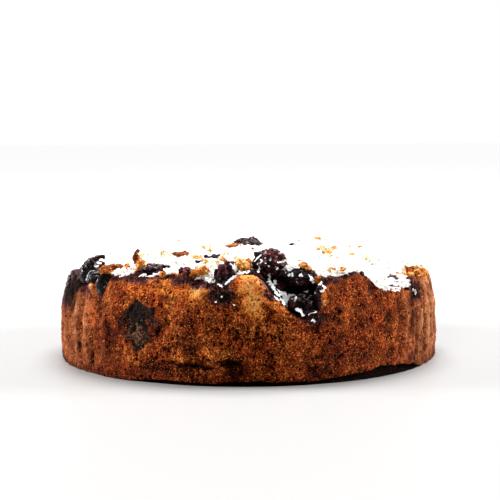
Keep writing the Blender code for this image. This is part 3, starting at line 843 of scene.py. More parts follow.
def wallJuice(points, angle, warped, level, rim):
    usual, vary, least = patches["rimStain"]
    wide = usual + vary * noiseAt(points * 70.0) + sum(
        extra * bell(angleBetween(angle, place) / half) for place, half, extra in patches["rimStains"]
    )
    band = bell(np.maximum(0.0, rim - level - 0.0006) / np.maximum(wide, least))
    band = band * (1.0 - 0.85 * bell(angleBetween(angle, -0.8) / 3.4))
    return spotsAt(patches["juicy"], warped, level) + band * (0.75 + 0.5 * noiseAt(points * 80.0 + 7.0))


def topJuice(points, angle, radius, lump):
    place, half, start, soft = patches["behindPeak"]
    behindPeak = bell(angleBetween(angle, place) / half) * smoothStep((radius - start) / soft)
    (start, soft), (place, half) = patches["topEdge"], patches["cleanEdge"]
    edge = (1.0 - bell(angleBetween(angle, place) / half)) * smoothStep((radius - start) / soft)
    juice = inNotch(angle, radius) + (behindPeak + edge * (0.7 + 0.5 * noiseAt(points * 80.0 + 7.0)))
    for place, ring, _, across, *_ in berries.values():
        away = spanTo(points, aroundCake(place, ring, 0.0)) / (across + 0.0015)
        juice = juice + (0.9 if across > 0.005 else 0.4) * np.exp(-((away + 0.25 * lump) ** 4))
    return juice


def shapeCrust(made, onWall, onTop, hollow):
    data = made.data
    points, out = vectorsOf(data.vertices, "co"), vectorsOf(data.vertex_normals, "vector")
    angle, radius, height = angleOf(points), radiusOf(points), points[:, 2]
    lump = roughAt(points * crust["lumpScale"], 3)
    crumb = roughAt(points * crust["crumbScale"] + 2.0, 3)
    pit, slit, pleat = pitsAt(points), slitsAt(points, angle, height), pleatsAt(points, angle, height)
    aside = np.abs(angleBetween(angle, crust["smoothFront"]))
    pleating, pressed = (
        smoothStep((aside - start) / soft) for start, soft in (crust["pleatsFrom"], crust["pressedFrom"])
    )
    topLump = crust["topLumps"] * roughAt(points * crust["topLumpScale"] + 4.0, 4)
    push = onWall * (crust["lumps"] * lump + crust["crumb"] * crumb - crust["pits"] * pit)
    push = push + onTop * (topLump - crust["pits"] * pit)
    push = push + onWall * pleating * crust["pleats"] * pleat * 2.0
    push = push - onWall * slit
    push = push - onWall * crust["sunkDepth"] * sunkenAt(points, angle, height)
    moved = points + out * push[:, None]
    moved[:, 2] = np.maximum(moved[:, 2], 0.0)
    data.vertices.foreach_set("co", moved.ravel())
    data.update()

    # what the finish needs to know at each point
    waver, waverUp, scale = crust["patchWaver"]
    warped = angle + waver * roughAt(points * scale + 1.0, 3)
    level = height + waverUp * roughAt(points * scale + 6.0, 3)
    rim = rimHeight(angle)
    juice = onWall * wallJuice(points, angle, warped, level, rim)
    juice = juice + onTop * topJuice(points, angle, radius, lump)
    # darker patches, and darker towards the bottom
    shade = spotsAt(patches["darker"], warped, level) + 0.5 * smoothStep((0.006 - level) / 0.006)
    most = patches["mostGolden"]
    pale = most * np.tanh(spotsAt(patches["golden"], warped, level) / most)
    charred = spotsAt([*patches["charred"], *overBerries("charredLobes")], warped, level)
    # the fold ridges and the pressed crumb are paler in the finish, partly as painted highlight on the
    # side-lit folds
    ridge = np.clip(foldHeight(angle) / 0.0013, -1.0, 1.0) * smoothStep(height / 0.012)
    pressed = pressed * (0.55 + 0.45 * ridge + 0.5 * pleat) * (0.85 + 0.15 * np.sin(np.radians(angle)))
    seen = np.maximum(onWall, onTop)
    cover = coconutCover(points) * smoothStep((out[:, 2] - 0.45) / 0.3) * seen * (height > 0.02)
    for name, values in {
        # inside the notch the top is darkened as painted shade
        "darker": onWall * shade + 0.9 * (onTop * inNotch(angle, radius)),
        "juice": np.clip(juice, 0.0, 1.0),
        "golden": onWall * pale + onTop * 1.7 * (1.0 - np.clip(1.3 * juice, 0.0, 1.0)),
        "height": crumb + 0.5 * lump,
        # pits and slits, darkened in the finish as painted shade
        "sunk": np.clip(pit * (1.0 - 0.5 * pleating) + slit * 1400.0, 0.0, 1.0) * seen,
        "hollow": hollow,
        "charred": onWall * np.minimum(1.0, charred),
        "ash": onWall * spotsAt(overBerries("ashLobes"), warped, level),
        "open": 0.72 + 0.28 * bell(angleBetween(angle, -4.0) / 26.0),
        "ridge": onWall * (ridge + 0.9 * pleating * pleat),
        "pressed": np.clip(onWall * pressed * smoothStep((rim - height) / 0.006), 0.0, 1.0),
        "coconut": cover,
    }.items():
        keepValue(data, name, values)
    return cover


crustPiece, onWall, onTop, hollow = makeCrust()
crustCover = shapeCrust(crustPiece, onWall, onTop, hollow)
print("crust:", len(crustPiece.data.vertices), "points")


# finishes

def newFinish(name, roughness, gloss=0.5, tint=(1.0, 1.0, 1.0)):
    made = bpy.data.materials.new(name)
    made.use_nodes = True
    shader = made.node_tree.nodes["Principled BSDF"]
    plug(roughness, shader.inputs["Roughness"])
    plug(gloss, shader.inputs["Specular IOR Level"])
    plug((*tint, 1.0), shader.inputs["Specular Tint"])
    place = addNode(made.node_tree, "ShaderNodeTexCoord").outputs["Object"]
    return made, made.node_tree, shader, place


def spread(tree, name):
    return addNode(tree, "ShaderNodeAttribute", attribute_name=name).outputs["Fac"]


def addBump(shader, height, distance, strength=1.0):
    inputs = {"Height": height, "Distance": distance, "Strength": strength}
    plug(addNode(shader.id_data, "ShaderNodeBump", inputs).outputs[0], shader.inputs["Normal"])


crustLook = {
    # from the bottom of a pore to the palest crumb: tone and colour
    "crumb": (
        (0.0, (0.003, 0.0006, 0.0002)), (0.12, (0.0163, 0.0024, 0.0006)), (0.26, (0.0777, 0.0115, 0.0024)),
        (0.38, (0.1517, 0.0244, 0.0046)), (0.5, (0.259, 0.044, 0.0072)), (0.64, (0.47, 0.108, 0.018)),
        (0.78, (0.8, 0.22, 0.033)), (0.9, (1.0, 0.32, 0.04)), (1.0, (1.0, 0.425, 0.12)),
    ),
    # the same where berry juice has soaked in
    "stained": (
        (0.0, (0.0008, 0.0002, 0.0003)), (0.2, (0.01, 0.0018, 0.0021)), (0.4, (0.048, 0.01, 0.0092)),
        (0.65, (0.15, 0.043, 0.034)), (1.0, (0.4, 0.2, 0.16)),
    ),
    # the same where the liner has pressed it smooth, on the folds, paler there as a painted highlight
    "pressed": (
        (0.0, (0.0074, 0.0026, 0.0014)), (0.28, (0.1, 0.0285, 0.009)), (0.45, (0.192, 0.083, 0.035)),
        (0.65, (0.3404, 0.176, 0.0925)), (1.0, (0.5772, 0.4292, 0.2775)),
    ),
    "middleTone": 0.370,
    # scale, detail and roughness of each size of mottling, and how much it changes the tone
    "mottling": {
        "wide": (42.0, 2.0, 0.5, 0.26),
        "middling": (150.0, 3.0, 0.7, 0.38),
        "patch": (330.0, 2.0, 0.5, 0.37),
        "crumbly": (1150.0, 2.0, 0.9, 0.74),
        "fine": (1650.0, 1.0, 0.8, 1.30),
        "streaks": (560.0, 3.0, 0.7, 0.55),
    },
    "streakLength": 0.10,  # scale upwards, as a share of that across
    "webbing": 0.34,
    "webbingScale": 760.0,
    "holeScale": 540.0,
    "bend": 0.0026,  # how far the cells are bent out of shape
    "bendScale": 800.0,
    "golden": 0.36,
    # darker patches, and painted shade inside the notch
    "darker": 0.30,
    # painted highlight on the ridges of the folds
    "ridge": 0.07,
    # painted shade in the pores, pits and slits
    "pore": 0.42,
    "raised": 0.10,
    # painted shade under a lifted lip
    "hollow": 0.8,
    "lip": 0.12,  # painted highlight on the rims of the pores
    # painted glints on the crumb
    "oily": 0.40,
    # tone and colour where it is scorched over a berry
    "charred": (
        (0.0, (0.0008, 0.0005, 0.0006)), (0.35, (0.0036, 0.0022, 0.0024)), (0.58, (0.015, 0.007, 0.0056)),
        (0.8, (0.064, 0.027, 0.0145)), (1.0, (0.19, 0.086, 0.042)),
    ),
    "hues": ((1.02, 0.87, 0.90), (0.98, 1.13, 1.20)),  # redder and yellower stretches of crumb
    "coconut": (0.930, 0.910, 0.870),
}


def finishCrust():
    look = crustLook
    made, tree, shader, place = newFinish("bakedCrust", 0.5, 0.02, (1.0, 0.62, 0.38))
    tall = vectorCalc("MULTIPLY", place, (1.0, 1.0, look["streakLength"]))
    mottled = {
        name: grain(tall if name == "streaks" else place, *row[:3]) for name, row in look["mottling"].items()
    }
    swung = {name: swing(mottled[name], row[3]) for name, row in look["mottling"].items()}
    middling, patch, crumbly, fine = (mottled[name] for name in ("middling", "patch", "crumbly", "fine"))
    bend = vectorCalc("SCALE", grain(place, look["bendScale"], output="Color"), look["bend"])
    bent = vectorCalc("ADD", place, bend)
    webbing = cells(bent, look["webbingScale"])["Distance"]
    holes = cells(bent, look["holeScale"])
    chance = addNode(tree, "ShaderNodeSeparateColor", {0: holes["Color"]}).outputs[0]
    size = calc("MULTIPLY_ADD", calc("POWER", chance, 1.6), 0.46, 0.02)
    deep = calc("SUBTRACT", holes["Distance"], size)
    openness = calc("SUBTRACT", 1.0, calc("MULTIPLY", spread(tree, "pressed"), 0.75))
    openness = calc("MULTIPLY", openness, spread(tree, "open"))
    # pores darkened as painted shade, their rims paler as painted highlight, and painted glints on the crumb
    pore = between(deep, 0.02, -0.10)
    lip = calc("MULTIPLY", between(deep, 0.20, 0.06), calc("SUBTRACT", 1.0, pore))
    lip = calc("MULTIPLY", lip, between(size, 0.10, 0.22), openness)
    pore = calc("MAXIMUM", calc("MULTIPLY", pore, openness), spread(tree, "sunk"))
    oily = calc("MULTIPLY", between(calc("ADD", fine, swing(crumbly, 0.6)), 0.64, 0.82), openness)

    tone = calc("ADD", look["middleTone"], swung["wide"], swung["middling"], swung["patch"])
    rough = calc("ADD", swung["crumbly"], swing(webbing, look["webbing"]), swung["fine"])
    tone = calc("ADD", tone, calc("MULTIPLY", rough, openness))
    tone = calc("MULTIPLY_ADD", swung["streaks"], spread(tree, "pressed"), tone)
    # paler and darker patches, painted highlight on fold ridges and pore rims, painted glints, painted shade
    # in pores and under a lifted lip
    for value, amount in (
        (spread(tree, "golden"), look["golden"]), (spread(tree, "ridge"), look["ridge"]),
        (spread(tree, "darker"), -look["darker"]), (spread(tree, "height"), look["raised"]),
        (lip, look["lip"]), (pore, -look["pore"]), (oily, look["oily"]),
        (spread(tree, "hollow"), -look["hollow"]),
    ):
        tone = calc("MULTIPLY_ADD", value, amount, tone)

    hue = blendColour(between(grain(place, 120.0, 3.0, 0.7), 0.40, 0.60), *look["hues"])
    crumb = blendColour(1.0, rampColour(tone, look["crumb"]), hue, "MULTIPLY")
    pressed = calc("MULTIPLY", spread(tree, "pressed"), 0.8)
    colour = blendColour(pressed, crumb, rampColour(tone, look["pressed"]))
    wet = calc("ADD", spread(tree, "juice"), calc("ADD", swing(middling, 0.8), swing(crumbly, 0.7)))
    soaked = calc("MULTIPLY_ADD", between(wet, 0.5, 1.2), -0.25, tone)
    colour = blendColour(between(wet, 0.25, 0.65), colour, rampColour(soaked, look["stained"]))
    scorch = calc("ADD", spread(tree, "charred"), calc("ADD", swing(crumbly, 2.1), swing(patch, 0.8)))
    ash = calc("ADD", 0.46, calc("ADD", swing(crumbly, 2.0), swing(fine, 2.8)))
    # pores darker in the scorched crumb too, as painted shade
    ash = calc("MULTIPLY_ADD", pore, -0.35, calc("MULTIPLY_ADD", spread(tree, "ash"), 0.50, ash))
    colour = blendColour(between(scorch, 0.36, 0.56), colour, rampColour(ash, look["charred"]))
    strewn = between(calc("ADD", spread(tree, "coconut"), swing(fine, 1.1)), 0.40, 0.54)
    plug(blendColour(strewn, colour, look["coconut"]), shader.inputs["Base Color"])

    sheen = calc("ADD", between(wet, 0.3, 0.9, 0.50, 0.30), swing(fine, 0.25), calc("MULTIPLY", strewn, 0.35))
    plug(sheen, shader.inputs["Roughness"])
    relief = (calc("MULTIPLY", crumbly, 0.8), calc("MULTIPLY", webbing, 0.7), calc("MULTIPLY", fine, 0.6))
    relief = calc("SUBTRACT", calc("ADD", *relief), calc("MULTIPLY", pore, 0.5))
    addBump(shader, calc("MULTIPLY", relief, openness), 0.0018)
    return made


berryLooks = {  # dark, light and groove colour (painted shade between drupelets), roughness, gloss
    "darkSkin": ((0.0028, 0.0008, 0.0014), (0.032, 0.0056, 0.0084), (0.0010, 0.0004, 0.0006), 0.17, 0.14),
    "redSkin": ((0.0060, 0.0014, 0.0020), (0.074, 0.0108, 0.0090), (0.0020, 0.0005, 0.0007), 0.16, 0.14),
    "wineSkin": ((0.0060, 0.0015, 0.0024), (0.054, 0.0100, 0.0115), (0.0016, 0.0006, 0.0008), 0.15, 0.14),
    "leatherSkin": ((0.0040, 0.0010, 0.0014), (0.095, 0.0150, 0.0240), (0.0012, 0.0004, 0.0006), 0.44, 0.05),
    "maroonSkin": ((0.0240, 0.0030, 0.0060), (0.200, 0.0180, 0.0340), (0.0060, 0.0014, 0.0024), 0.40, 0.14),
    "smoothSkin": ((0.0012, 0.0011, 0.0013), (0.010, 0.0080, 0.0090), (0.0006, 0.0004, 0.0005), 0.20, 0.14),
    "greySkin": ((0.0012, 0.0010, 0.0012), (0.018, 0.0160, 0.0170), (0.0006, 0.0004, 0.0005), 0.20, 0.14),
    "blackSkin": ((0.0012, 0.0004, 0.0006), (0.014, 0.0026, 0.0036), (0.0005, 0.0003, 0.0003), 0.13, 0.05),
}
sunkLook = (
    (0.0, (0.0011, 0.0007, 0.0007)), (0.3, (0.0059, 0.0037, 0.003)), (0.55, (0.0252, 0.0118, 0.0059)),
    (0.8, (0.0962, 0.0385, 0.0133)), (1.0, (0.1776, 0.074, 0.0259)),
)


def finishBerry(name):
    dark, light, groove, roughness, gloss = berryLooks[name]
    made, tree, shader, place = newFinish(name, roughness, gloss, (1.0, 0.84, 0.84))
    mottled = grain(place, 330.0, 4.0, 0.6)
    ripe = calc("ADD", spread(tree, "ripeness"), swing(mottled, 1.3))
    colour = blendColour(between(ripe, 0.25, 1.15), dark, light)
    # darker in the grooves between drupelets: painted shade
    colour = blendColour(between(spread(tree, "groove"), 0.35, 0.75), colour, groove)
    plug(colour, shader.inputs["Base Color"])
    plug(calc("ADD", roughness, swing(mottled, 0.25)), shader.inputs["Roughness"])
    relief = calc("ADD", mottled, calc("MULTIPLY", grain(place, 1500.0, 3.0, 0.6), 0.25))
    addBump(shader, relief, 0.0004, 0.3)
    return made


def finishSunk():
    made, tree, shader, place = newFinish("sunkSkin", 0.75, 0.05)
    mottled = grain(place, 260.0, 3.0, 0.8)
    crumbly = grain(place, 900.0, 3.0, 0.9)
    # pores darkened as painted shade
    pore = between(cells(place, 620.0)["Distance"], 0.44, 0.20)
    tone = calc("ADD", calc("MULTIPLY", mottled, 1.2), calc("MULTIPLY", crumbly, 1.3))
    tone = calc("SUBTRACT", calc("SUBTRACT", tone, 0.92), calc("MULTIPLY", pore, 0.3))
    plug(rampColour(tone, sunkLook), shader.inputs["Base Color"])
    addBump(shader, calc("SUBTRACT", crumbly, calc("MULTIPLY", pore, 0.8)), 0.0022)
    return made


coconutLooks = {  # material, light and shaded colour, roughness
    "shred": ("coconutShred", (0.98, 0.975, 0.955), (0.92, 0.90, 0.85), 0.5),
    "grain": ("coconutGrain", (0.94, 0.93, 0.89), (0.80, 0.68, 0.50), 0.6),
}


def finishCoconut(name):
    material, light, shadow, roughness = coconutLooks[name]
    made, tree, shader, place = newFinish(material, roughness)
    mottled = grain(place, 700.0, 3.0)
    tone = calc("ADD", spread(tree, "tone"), swing(mottled, 0.6))
    plug(blendColour(between(tone, 0.0, 1.0), shadow, light), shader.inputs["Base Color"])
    addBump(shader, mottled, 0.0003, 0.5)
    return made


crumbLook = (
    (0.0, (0.024, 0.0048, 0.0016)), (0.25, (0.16, 0.0256, 0.0048)), (0.5, (0.448, 0.108, 0.0128)),
    (0.68, (0.76, 0.28, 0.034)), (0.84, (0.82, 0.5, 0.19)), (1.0, (0.9, 0.76, 0.52)),
)


def finishCrumbs():
    made, tree, shader, place = newFinish("crumb", 0.6, 0.12, (1.0, 0.8, 0.6))
    mottled = grain(place, 330.0, 3.0, 0.8)
    fine = grain(place, 1100.0, 2.0, 0.8)
    # pores darkened as painted shade
    pore = between(cells(place, 800.0)["Distance"], 0.36, 0.15)
    tone = calc("ADD", calc("MULTIPLY", mottled, 1.5), calc("MULTIPLY", fine, 0.9))
    tone = calc("ADD", calc("SUBTRACT", tone, 1.02), calc("MULTIPLY", spread(tree, "tone"), 0.55))
    tone = calc("SUBTRACT", tone, calc("MULTIPLY", pore, 0.25))
    plug(rampColour(tone, crumbLook), shader.inputs["Base Color"])
    addBump(shader, calc("SUBTRACT", fine, calc("MULTIPLY", pore, 0.7)), 0.0014)
    return made


finishes = {name: finishBerry(name) for name in berryLooks}
finishes["bakedCrust"] = finishCrust()
finishes["sunkSkin"] = finishSunk()
finishes.update({name: finishCoconut(name) for name in coconutLooks})
finishes["crumb"] = finishCrumbs()
crustPiece.data.materials.append(finishes["bakedCrust"])
print("finishes:", len(finishes))


# geometry trees

socketKinds = {
    float: "NodeSocketFloat", int: "NodeSocketInt", tuple: "NodeSocketVector",
    bpy.types.Material: "NodeSocketMaterial", bpy.types.Collection: "NodeSocketCollection",
}


def newTree(name, inputs):
    tree = bpy.data.node_groups.new(name, "GeometryNodeTree")
    tree.interface.new_socket("Geometry", in_out="INPUT", socket_type="NodeSocketGeometry")
    for label, value in inputs.items():
        kind = next(kind for given, kind in socketKinds.items() if isinstance(value, given))
        socket = tree.interface.new_socket(label, in_out="INPUT", socket_type=kind)
        if not isinstance(value, (bpy.types.Material, bpy.types.Collection)):
            socket.default_value = value
    tree.interface.new_socket("Geometry", in_out="OUTPUT", socket_type="NodeSocketGeometry")
    return tree, addNode(tree, "NodeGroupInput").outputs, addNode(tree, "NodeGroupOutput").inputs[0]


def runTree(piece, tree, values):
    modifier = piece.modifiers.new(tree.name, "NODES")
    modifier.node_group = tree
    for item in tree.interface.items_tree:
        if item.in_out == "INPUT" and item.name in values:
            modifier[item.identifier] = values[item.name]
    grown = piece.evaluated_get(bpy.context.evaluated_depsgraph_get())
    data = bpy.data.meshes.new_from_object(grown)
    piece.modifiers.remove(modifier)
    old = piece.data
    piece.data = data
    bpy.data.meshes.remove(old)
    data.name = piece.name
    return piece


def onward(geometry, kind, inputs=None, **settings):
    return addNode(geometry.id_data, kind, {0: geometry, **(inputs or {})}, **settings).outputs[0]


def storeValue(geometry, name, value, domain="POINT"):
    kind, inputs = "GeometryNodeStoreNamedAttribute", {"Name": name, "Value": value}
    return onward(geometry, kind, inputs, data_type="FLOAT", domain=domain)


def emptyPiece(name):
    made = bpy.data.objects.new(name, bpy.data.meshes.new(name))
    scene.collection.objects.link(made)
    return made


# berries

def makeBerryTree():
    tree, given, result = newTree("bakedBerry", {
        "Across": 0.009, "Through": 0.007, "Up": 0.007, "Drupelets": 40, "Rise": 0.0012,
        "Shrivel": 0.0012, "Wrinkle": 0.0003, "Seed": 1, "Detail": 6,
        "Place": (0.0, 0.0, 0.0), "Turn": 0.0, "Skin": finishes["darkSkin"],
    })
    count, seed = given["Drupelets"], given["Seed"]

    def chance(kind):
        inputs = {0: (-1.0, -1.0, -1.0), 1: (1.0, 1.0, 1.0)} if kind == "FLOAT_VECTOR" else {}
        return addNode(tree, "FunctionNodeRandomValue", {**inputs, "Seed": seed}, data_type=kind).outputs

    # the heart of each drupelet, on a jittered spiral round a unit ball
    number = addNode(tree, "GeometryNodeInputIndex").outputs[0]
    level = calc("SUBTRACT", 1.0, calc("DIVIDE", calc("MULTIPLY_ADD", number, 2.0, 1.0), count))
    width = calc("SQRT", calc("SUBTRACT", 1.0, calc("MULTIPLY", level, level)))
    turn = calc("MULTIPLY", number, goldenAngle)
    direction = addNode(tree, "ShaderNodeCombineXYZ", {
        0: calc("MULTIPLY", width, calc("COSINE", turn)), 1: calc("MULTIPLY", width, calc("SINE", turn)),
        2: level,
    }).outputs[0]
    spacing = calc("DIVIDE", 2.0, calc("SQRT", count))
    moved = vectorCalc("SCALE", chance("FLOAT_VECTOR")[0], calc("MULTIPLY", spacing, 0.32))
    heart = vectorCalc("NORMALIZE", vectorCalc("ADD", direction, moved))
    points = addNode(tree, "GeometryNodePoints", {"Count": count, "Position": heart}).outputs[0]

    # the nearest one to each point of the ball, and its ripeness
    here = addNode(tree, "GeometryNodeInputPosition").outputs[0]
    near = onward(points, "GeometryNodeSampleNearest", {"Sample Position": here})
    centre = {"Value": here, "Index": near}
    centre = onward(points, "GeometryNodeSampleIndex", centre, data_type="FLOAT_VECTOR")
    ripe = chance("FLOAT")[1]
    ripe = onward(points, "GeometryNodeSampleIndex", {"Value": ripe, "Index": near}, data_type="FLOAT")
    away = calc("DIVIDE", vectorCalc("DISTANCE", here, centre), calc("MULTIPLY", spacing, 1.04))
    cap = calc("SQRT", calc("MAXIMUM", 0.02, calc("SUBTRACT", 1.0, calc("MULTIPLY", away, away))))
    shifted = vectorCalc("ADD", here, vectorCalc("SCALE", (7.3, 3.1, 5.7), seed))
    lift = calc("MULTIPLY", cap, calc("MULTIPLY_ADD", ripe, 0.8, 0.4), given["Rise"])
    lift = calc("ADD", lift, swing(grain(shifted, 1.7), calc("MULTIPLY", given["Shrivel"], 2.6)))
    lift = calc("ADD", lift, swing(grain(shifted, 9.0, 3.0, 0.6), calc("MULTIPLY", given["Wrinkle"], 2.0)))
    lift = calc("SUBTRACT", lift, calc("MULTIPLY", given["Rise"], 0.75))
    sizes = {axis: given[label] for axis, label in enumerate(("Across", "Through", "Up"))}
    size = addNode(tree, "ShaderNodeCombineXYZ", sizes).outputs[0]
    shaped = vectorCalc("ADD", vectorCalc("MULTIPLY", here, size), vectorCalc("SCALE", here, lift))

    ball = addNode(tree, "GeometryNodeMeshIcoSphere", {"Radius": 1.0, "Subdivisions": given["Detail"]})
    # the grooves between drupelets, which the skin darkens as painted shade
    berry = storeValue(ball.outputs["Mesh"], "groove", calc("SUBTRACT", 1.0, cap))
    berry = storeValue(berry, "ripeness", ripe)
    berry = onward(berry, "GeometryNodeSetPosition", {"Position": shaped})
    spin = addNode(tree, "ShaderNodeCombineXYZ", {2: given["Turn"]}).outputs[0]
    berry = onward(berry, "GeometryNodeTransform", {"Translation": given["Place"], "Rotation": spin})
    berry = onward(berry, "GeometryNodeSetShadeSmooth")
    berry = onward(berry, "GeometryNodeRealizeInstances")
    plug(onward(berry, "GeometryNodeSetMaterial", {"Material": given["Skin"]}), result)
    return tree


def growBerries():
    tree = makeBerryTree()
    pieces = {}
    for seed, (node, row) in enumerate(berries.items()):
        angle, radius, height, across, through, up, turn, skin, drupelets, shrivel = row
        first, *words = node.split("_")
        rise = 1.2 * math.sqrt(across * up) / math.sqrt(drupelets)
        wrinkle, shrunk = 0.0004, 1.5
        if skin in ("leatherSkin", "smoothSkin", "greySkin"):
            rise, wrinkle = 0.0009, 0.0001
        elif skin == "sunkSkin":
            through, rise, wrinkle, shrunk = through * 0.72, rise * 0.4, 0.0007, 0.5
        pieces[node] = runTree(emptyPiece(first + "".join(word.capitalize() for word in words)), tree, {
            "Across": across, "Through": through, "Up": up, "Drupelets": drupelets, "Rise": rise,
            "Shrivel": shrivel * shrunk, "Wrinkle": wrinkle, "Seed": seed + 3,
            "Detail": 6 if across > 0.006 else 5, "Skin": finishes[skin],
            "Place": tuple(aroundCake(angle, radius, height).tolist()), "Turn": math.radians(angle + turn),
        })
    return pieces


berryPieces = growBerries()
print("berries:", len(berryPieces))


# coconut and crumbs

def linkStrip(sections):
    faces = [(3, 2, 1, 0)]
    for s in range(sections - 1):
        a, b = 4 * s, 4 * s + 4
        faces += [(a + i, a + (i + 1) % 4, b + (i + 1) % 4, b + i) for i in range(4)]
    last = 4 * (sections - 1)
    faces.append((last, last + 1, last + 2, last + 3))
    return faces


def stripPoints(length, width, thick, bend, twist, sections, seed, ragged=0.5):
    points = []
    for s in range(sections):
        along = s / (sections - 1) - 0.5
        taper = 1.0 - 0.5 * (2.0 * abs(along)) ** 4
        edges = [
            side * width / 2.0 * taper * (1.0 + ragged * noise.noise((along * 9.0, seed * 3.1, side * 4.0)))
            for side in (-1.0, 1.0)
        ]
        rise = bend * (along * along - 0.08) * length
        sideways = bend * 0.6 * math.sin(along * 5.0 + seed) * length * 0.25
        sideways += ragged * 0.5 * width * noise.noise((along * 5.0, seed * 1.7, 9.0))
        turn = twist * along
        for across, up in ((0, -1), (1, -1), (1, 1), (0, 1)):
            y, z = edges[across], up * thick / 2.0
            points.append((
                along * length,
                sideways + y * math.cos(turn) - z * math.sin(turn),
                rise + y * math.sin(turn) + z * math.cos(turn),
            ))
    return points


coconut = {
    # name: length, width, thickness, bend, twist, sections of each pattern
    "shreds": (
        (0.0046, 0.0012, 0.00042, 0.35, 0.5, 6), (0.0036, 0.0014, 0.00046, -0.28, -0.7, 5),
        (0.0056, 0.0011, 0.0004, 0.45, 0.9, 6), (0.003, 0.0012, 0.00045, 0.2, 0.4, 5),
    ),
    "flakes": (
        (0.0026, 0.0019, 0.00036, 0.3, 0.3, 4), (0.0021, 0.0015, 0.0004, -0.3, 0.5, 4),
        (0.0031, 0.0016, 0.00036, 0.4, -0.4, 4),
    ),
    "grains": (
        (0.0012, 0.0009, 0.0006, 0.0, 0.4, 2), (0.0009, 0.0008, 0.0006, 0.0, 0.0, 2),
        (0.0015, 0.0007, 0.0005, 0.0, 0.8, 2),
    ),
    # name: pieces per square metre, smallest and largest scale, lift, tilt, curl, finish, seed
    "strewn": {
        "coconutShreds": ("shreds", 118000.0, 0.65, 1.15, 0.0016, 0.45, 0.0009, "shred", 11),
        "coconutFlakes": ("flakes", 150000.0, 0.6, 1.15, 0.0013, 0.55, 0.0006, "shred", 12),
        "coconutGrains": ("grains", 320000.0, 0.6, 1.25, 0.0010, 0.9, 0.0, "grain", 13),
    },
}


def makePatterns(name, meshes):
    group = bpy.data.collections.new(name)
    for number, (points, faces) in enumerate(meshes):
        data = bpy.data.meshes.new(name + str(number))
        data.from_pydata(points, [], faces)
        group.objects.link(bpy.data.objects.new(name + str(number), data))
    return group


def dropPatterns(group):
    for made in list(group.objects):
        bpy.data.objects.remove(made, do_unlink=True)
    bpy.data.collections.remove(group)


def makeStrewTree():
    someGroup = bpy.data.collections.new("pattern")
    tree, given, result = newTree("strewn", {
        "Patterns": someGroup, "Density": 100000.0, "Smallest": 0.6, "Largest": 1.2, "Lift": 0.001,
        "Tilt": 0.5, "Curl": 0.0008, "Seed": 1, "Finish": finishes["shred"],
    })

    def chance(kind, low, high, extra):
        lowest, highest, drawn = {"FLOAT": (2, 3, 1), "FLOAT_VECTOR": (0, 1, 0), "INT": (4, 5, 2)}[kind]
        inputs = {lowest: low, highest: high, "Seed": calc("ADD", given["Seed"], float(extra))}
        return addNode(tree, "FunctionNodeRandomValue", inputs, data_type=kind).outputs[drawn]

    cover = addNode(tree, "GeometryNodeInputNamedAttribute", {"Name": "cover"}, data_type="FLOAT").outputs[0]
    scatter = addNode(tree, "GeometryNodeDistributePointsOnFaces", {
        "Mesh": given["Geometry"], "Density": calc("MULTIPLY", given["Density"], cover),
        "Seed": given["Seed"],
    }, distribute_method="RANDOM").outputs
    tilt, back = given["Tilt"], calc("MULTIPLY", given["Tilt"], -1.0)
    low = addNode(tree, "ShaderNodeCombineXYZ", {0: back, 1: back}).outputs[0]
    high = addNode(tree, "ShaderNodeCombineXYZ", {0: tilt, 1: tilt, 2: 2.0 * math.pi}).outputs[0]
    lean = onward(chance("FLOAT_VECTOR", low, high, 101), "FunctionNodeEulerToRotation")
    turned = onward(scatter["Rotation"], "FunctionNodeRotateRotation", {1: lean}, rotation_space="LOCAL")
    lift = calc("MULTIPLY", given["Lift"], chance("FLOAT", 0.0, 1.0, 211))
    lift = vectorCalc("SCALE", scatter["Normal"], lift)
    raised = onward(scatter["Points"], "GeometryNodeSetPosition", {"Offset": lift})
    patterns = addNode(tree, "GeometryNodeCollectionInfo", {
        "Collection": given["Patterns"], "Separate Children": True, "Reset Children": True,
    }).outputs[0]
    strewn = onward(raised, "GeometryNodeInstanceOnPoints", {
        "Instance": patterns, "Pick Instance": True, "Instance Index": chance("INT", 0, 7, 307),
        "Rotation": turned, "Scale": chance("FLOAT", given["Smallest"], given["Largest"], 401),
    })
    strewn = storeValue(strewn, "tone", chance("FLOAT", 0.0, 1.0, 503), "INSTANCE")
    strewn = onward(strewn, "GeometryNodeRealizeInstances")
    swirl = grain(addNode(tree, "GeometryNodeInputPosition").outputs[0], 260.0, 1.0, output="Color")
    swirl = vectorCalc("SUBTRACT", swirl, (0.5, 0.5, 0.5))
    curl = vectorCalc("SCALE", swirl, calc("MULTIPLY", given["Curl"], 2.0))
    strewn = onward(strewn, "GeometryNodeSetPosition", {"Offset": curl})
    plug(onward(strewn, "GeometryNodeSetMaterial", {"Material": given["Finish"]}), result)
    bpy.data.collections.remove(someGroup)
    return tree


def makeGround(name, cover, lowest):
    wanted = cover > lowest
    polygons = crustPiece.data.polygons
    keep = [face.vertices[:] for face in polygons if all(wanted[i] for i in face.vertices)]
    used = sorted({i for face in keep for i in face})
    number = {old: new for new, old in enumerate(used)}
    points = vectorsOf(crustPiece.data.vertices, "co")[used]
    made = meshFrom(name, points, [tuple(number[i] for i in face) for face in keep])
    keepValue(made.data, "cover", cover[used])
    return made


def strewCoconut():
    tree = makeStrewTree()
    pieces = {}
    for name, row in coconut["strewn"].items():
        pattern, density, smallest, largest, lift, tilt, curl, finish, seed = row
        group = makePatterns(pattern, [
            (stripPoints(*shape, number * 2.7), linkStrip(shape[-1]))
            for number, shape in enumerate(coconut[pattern])
        ])
        pieces[name] = runTree(makeGround(name, crustCover, 0.02), tree, {
            "Patterns": group, "Density": density, "Smallest": smallest, "Largest": largest, "Lift": lift,
            "Tilt": tilt, "Curl": curl, "Seed": seed, "Finish": finishes[finish],
        })
        dropPatterns(group)
        print(name, len(pieces[name].data.polygons), "faces")
    return pieces


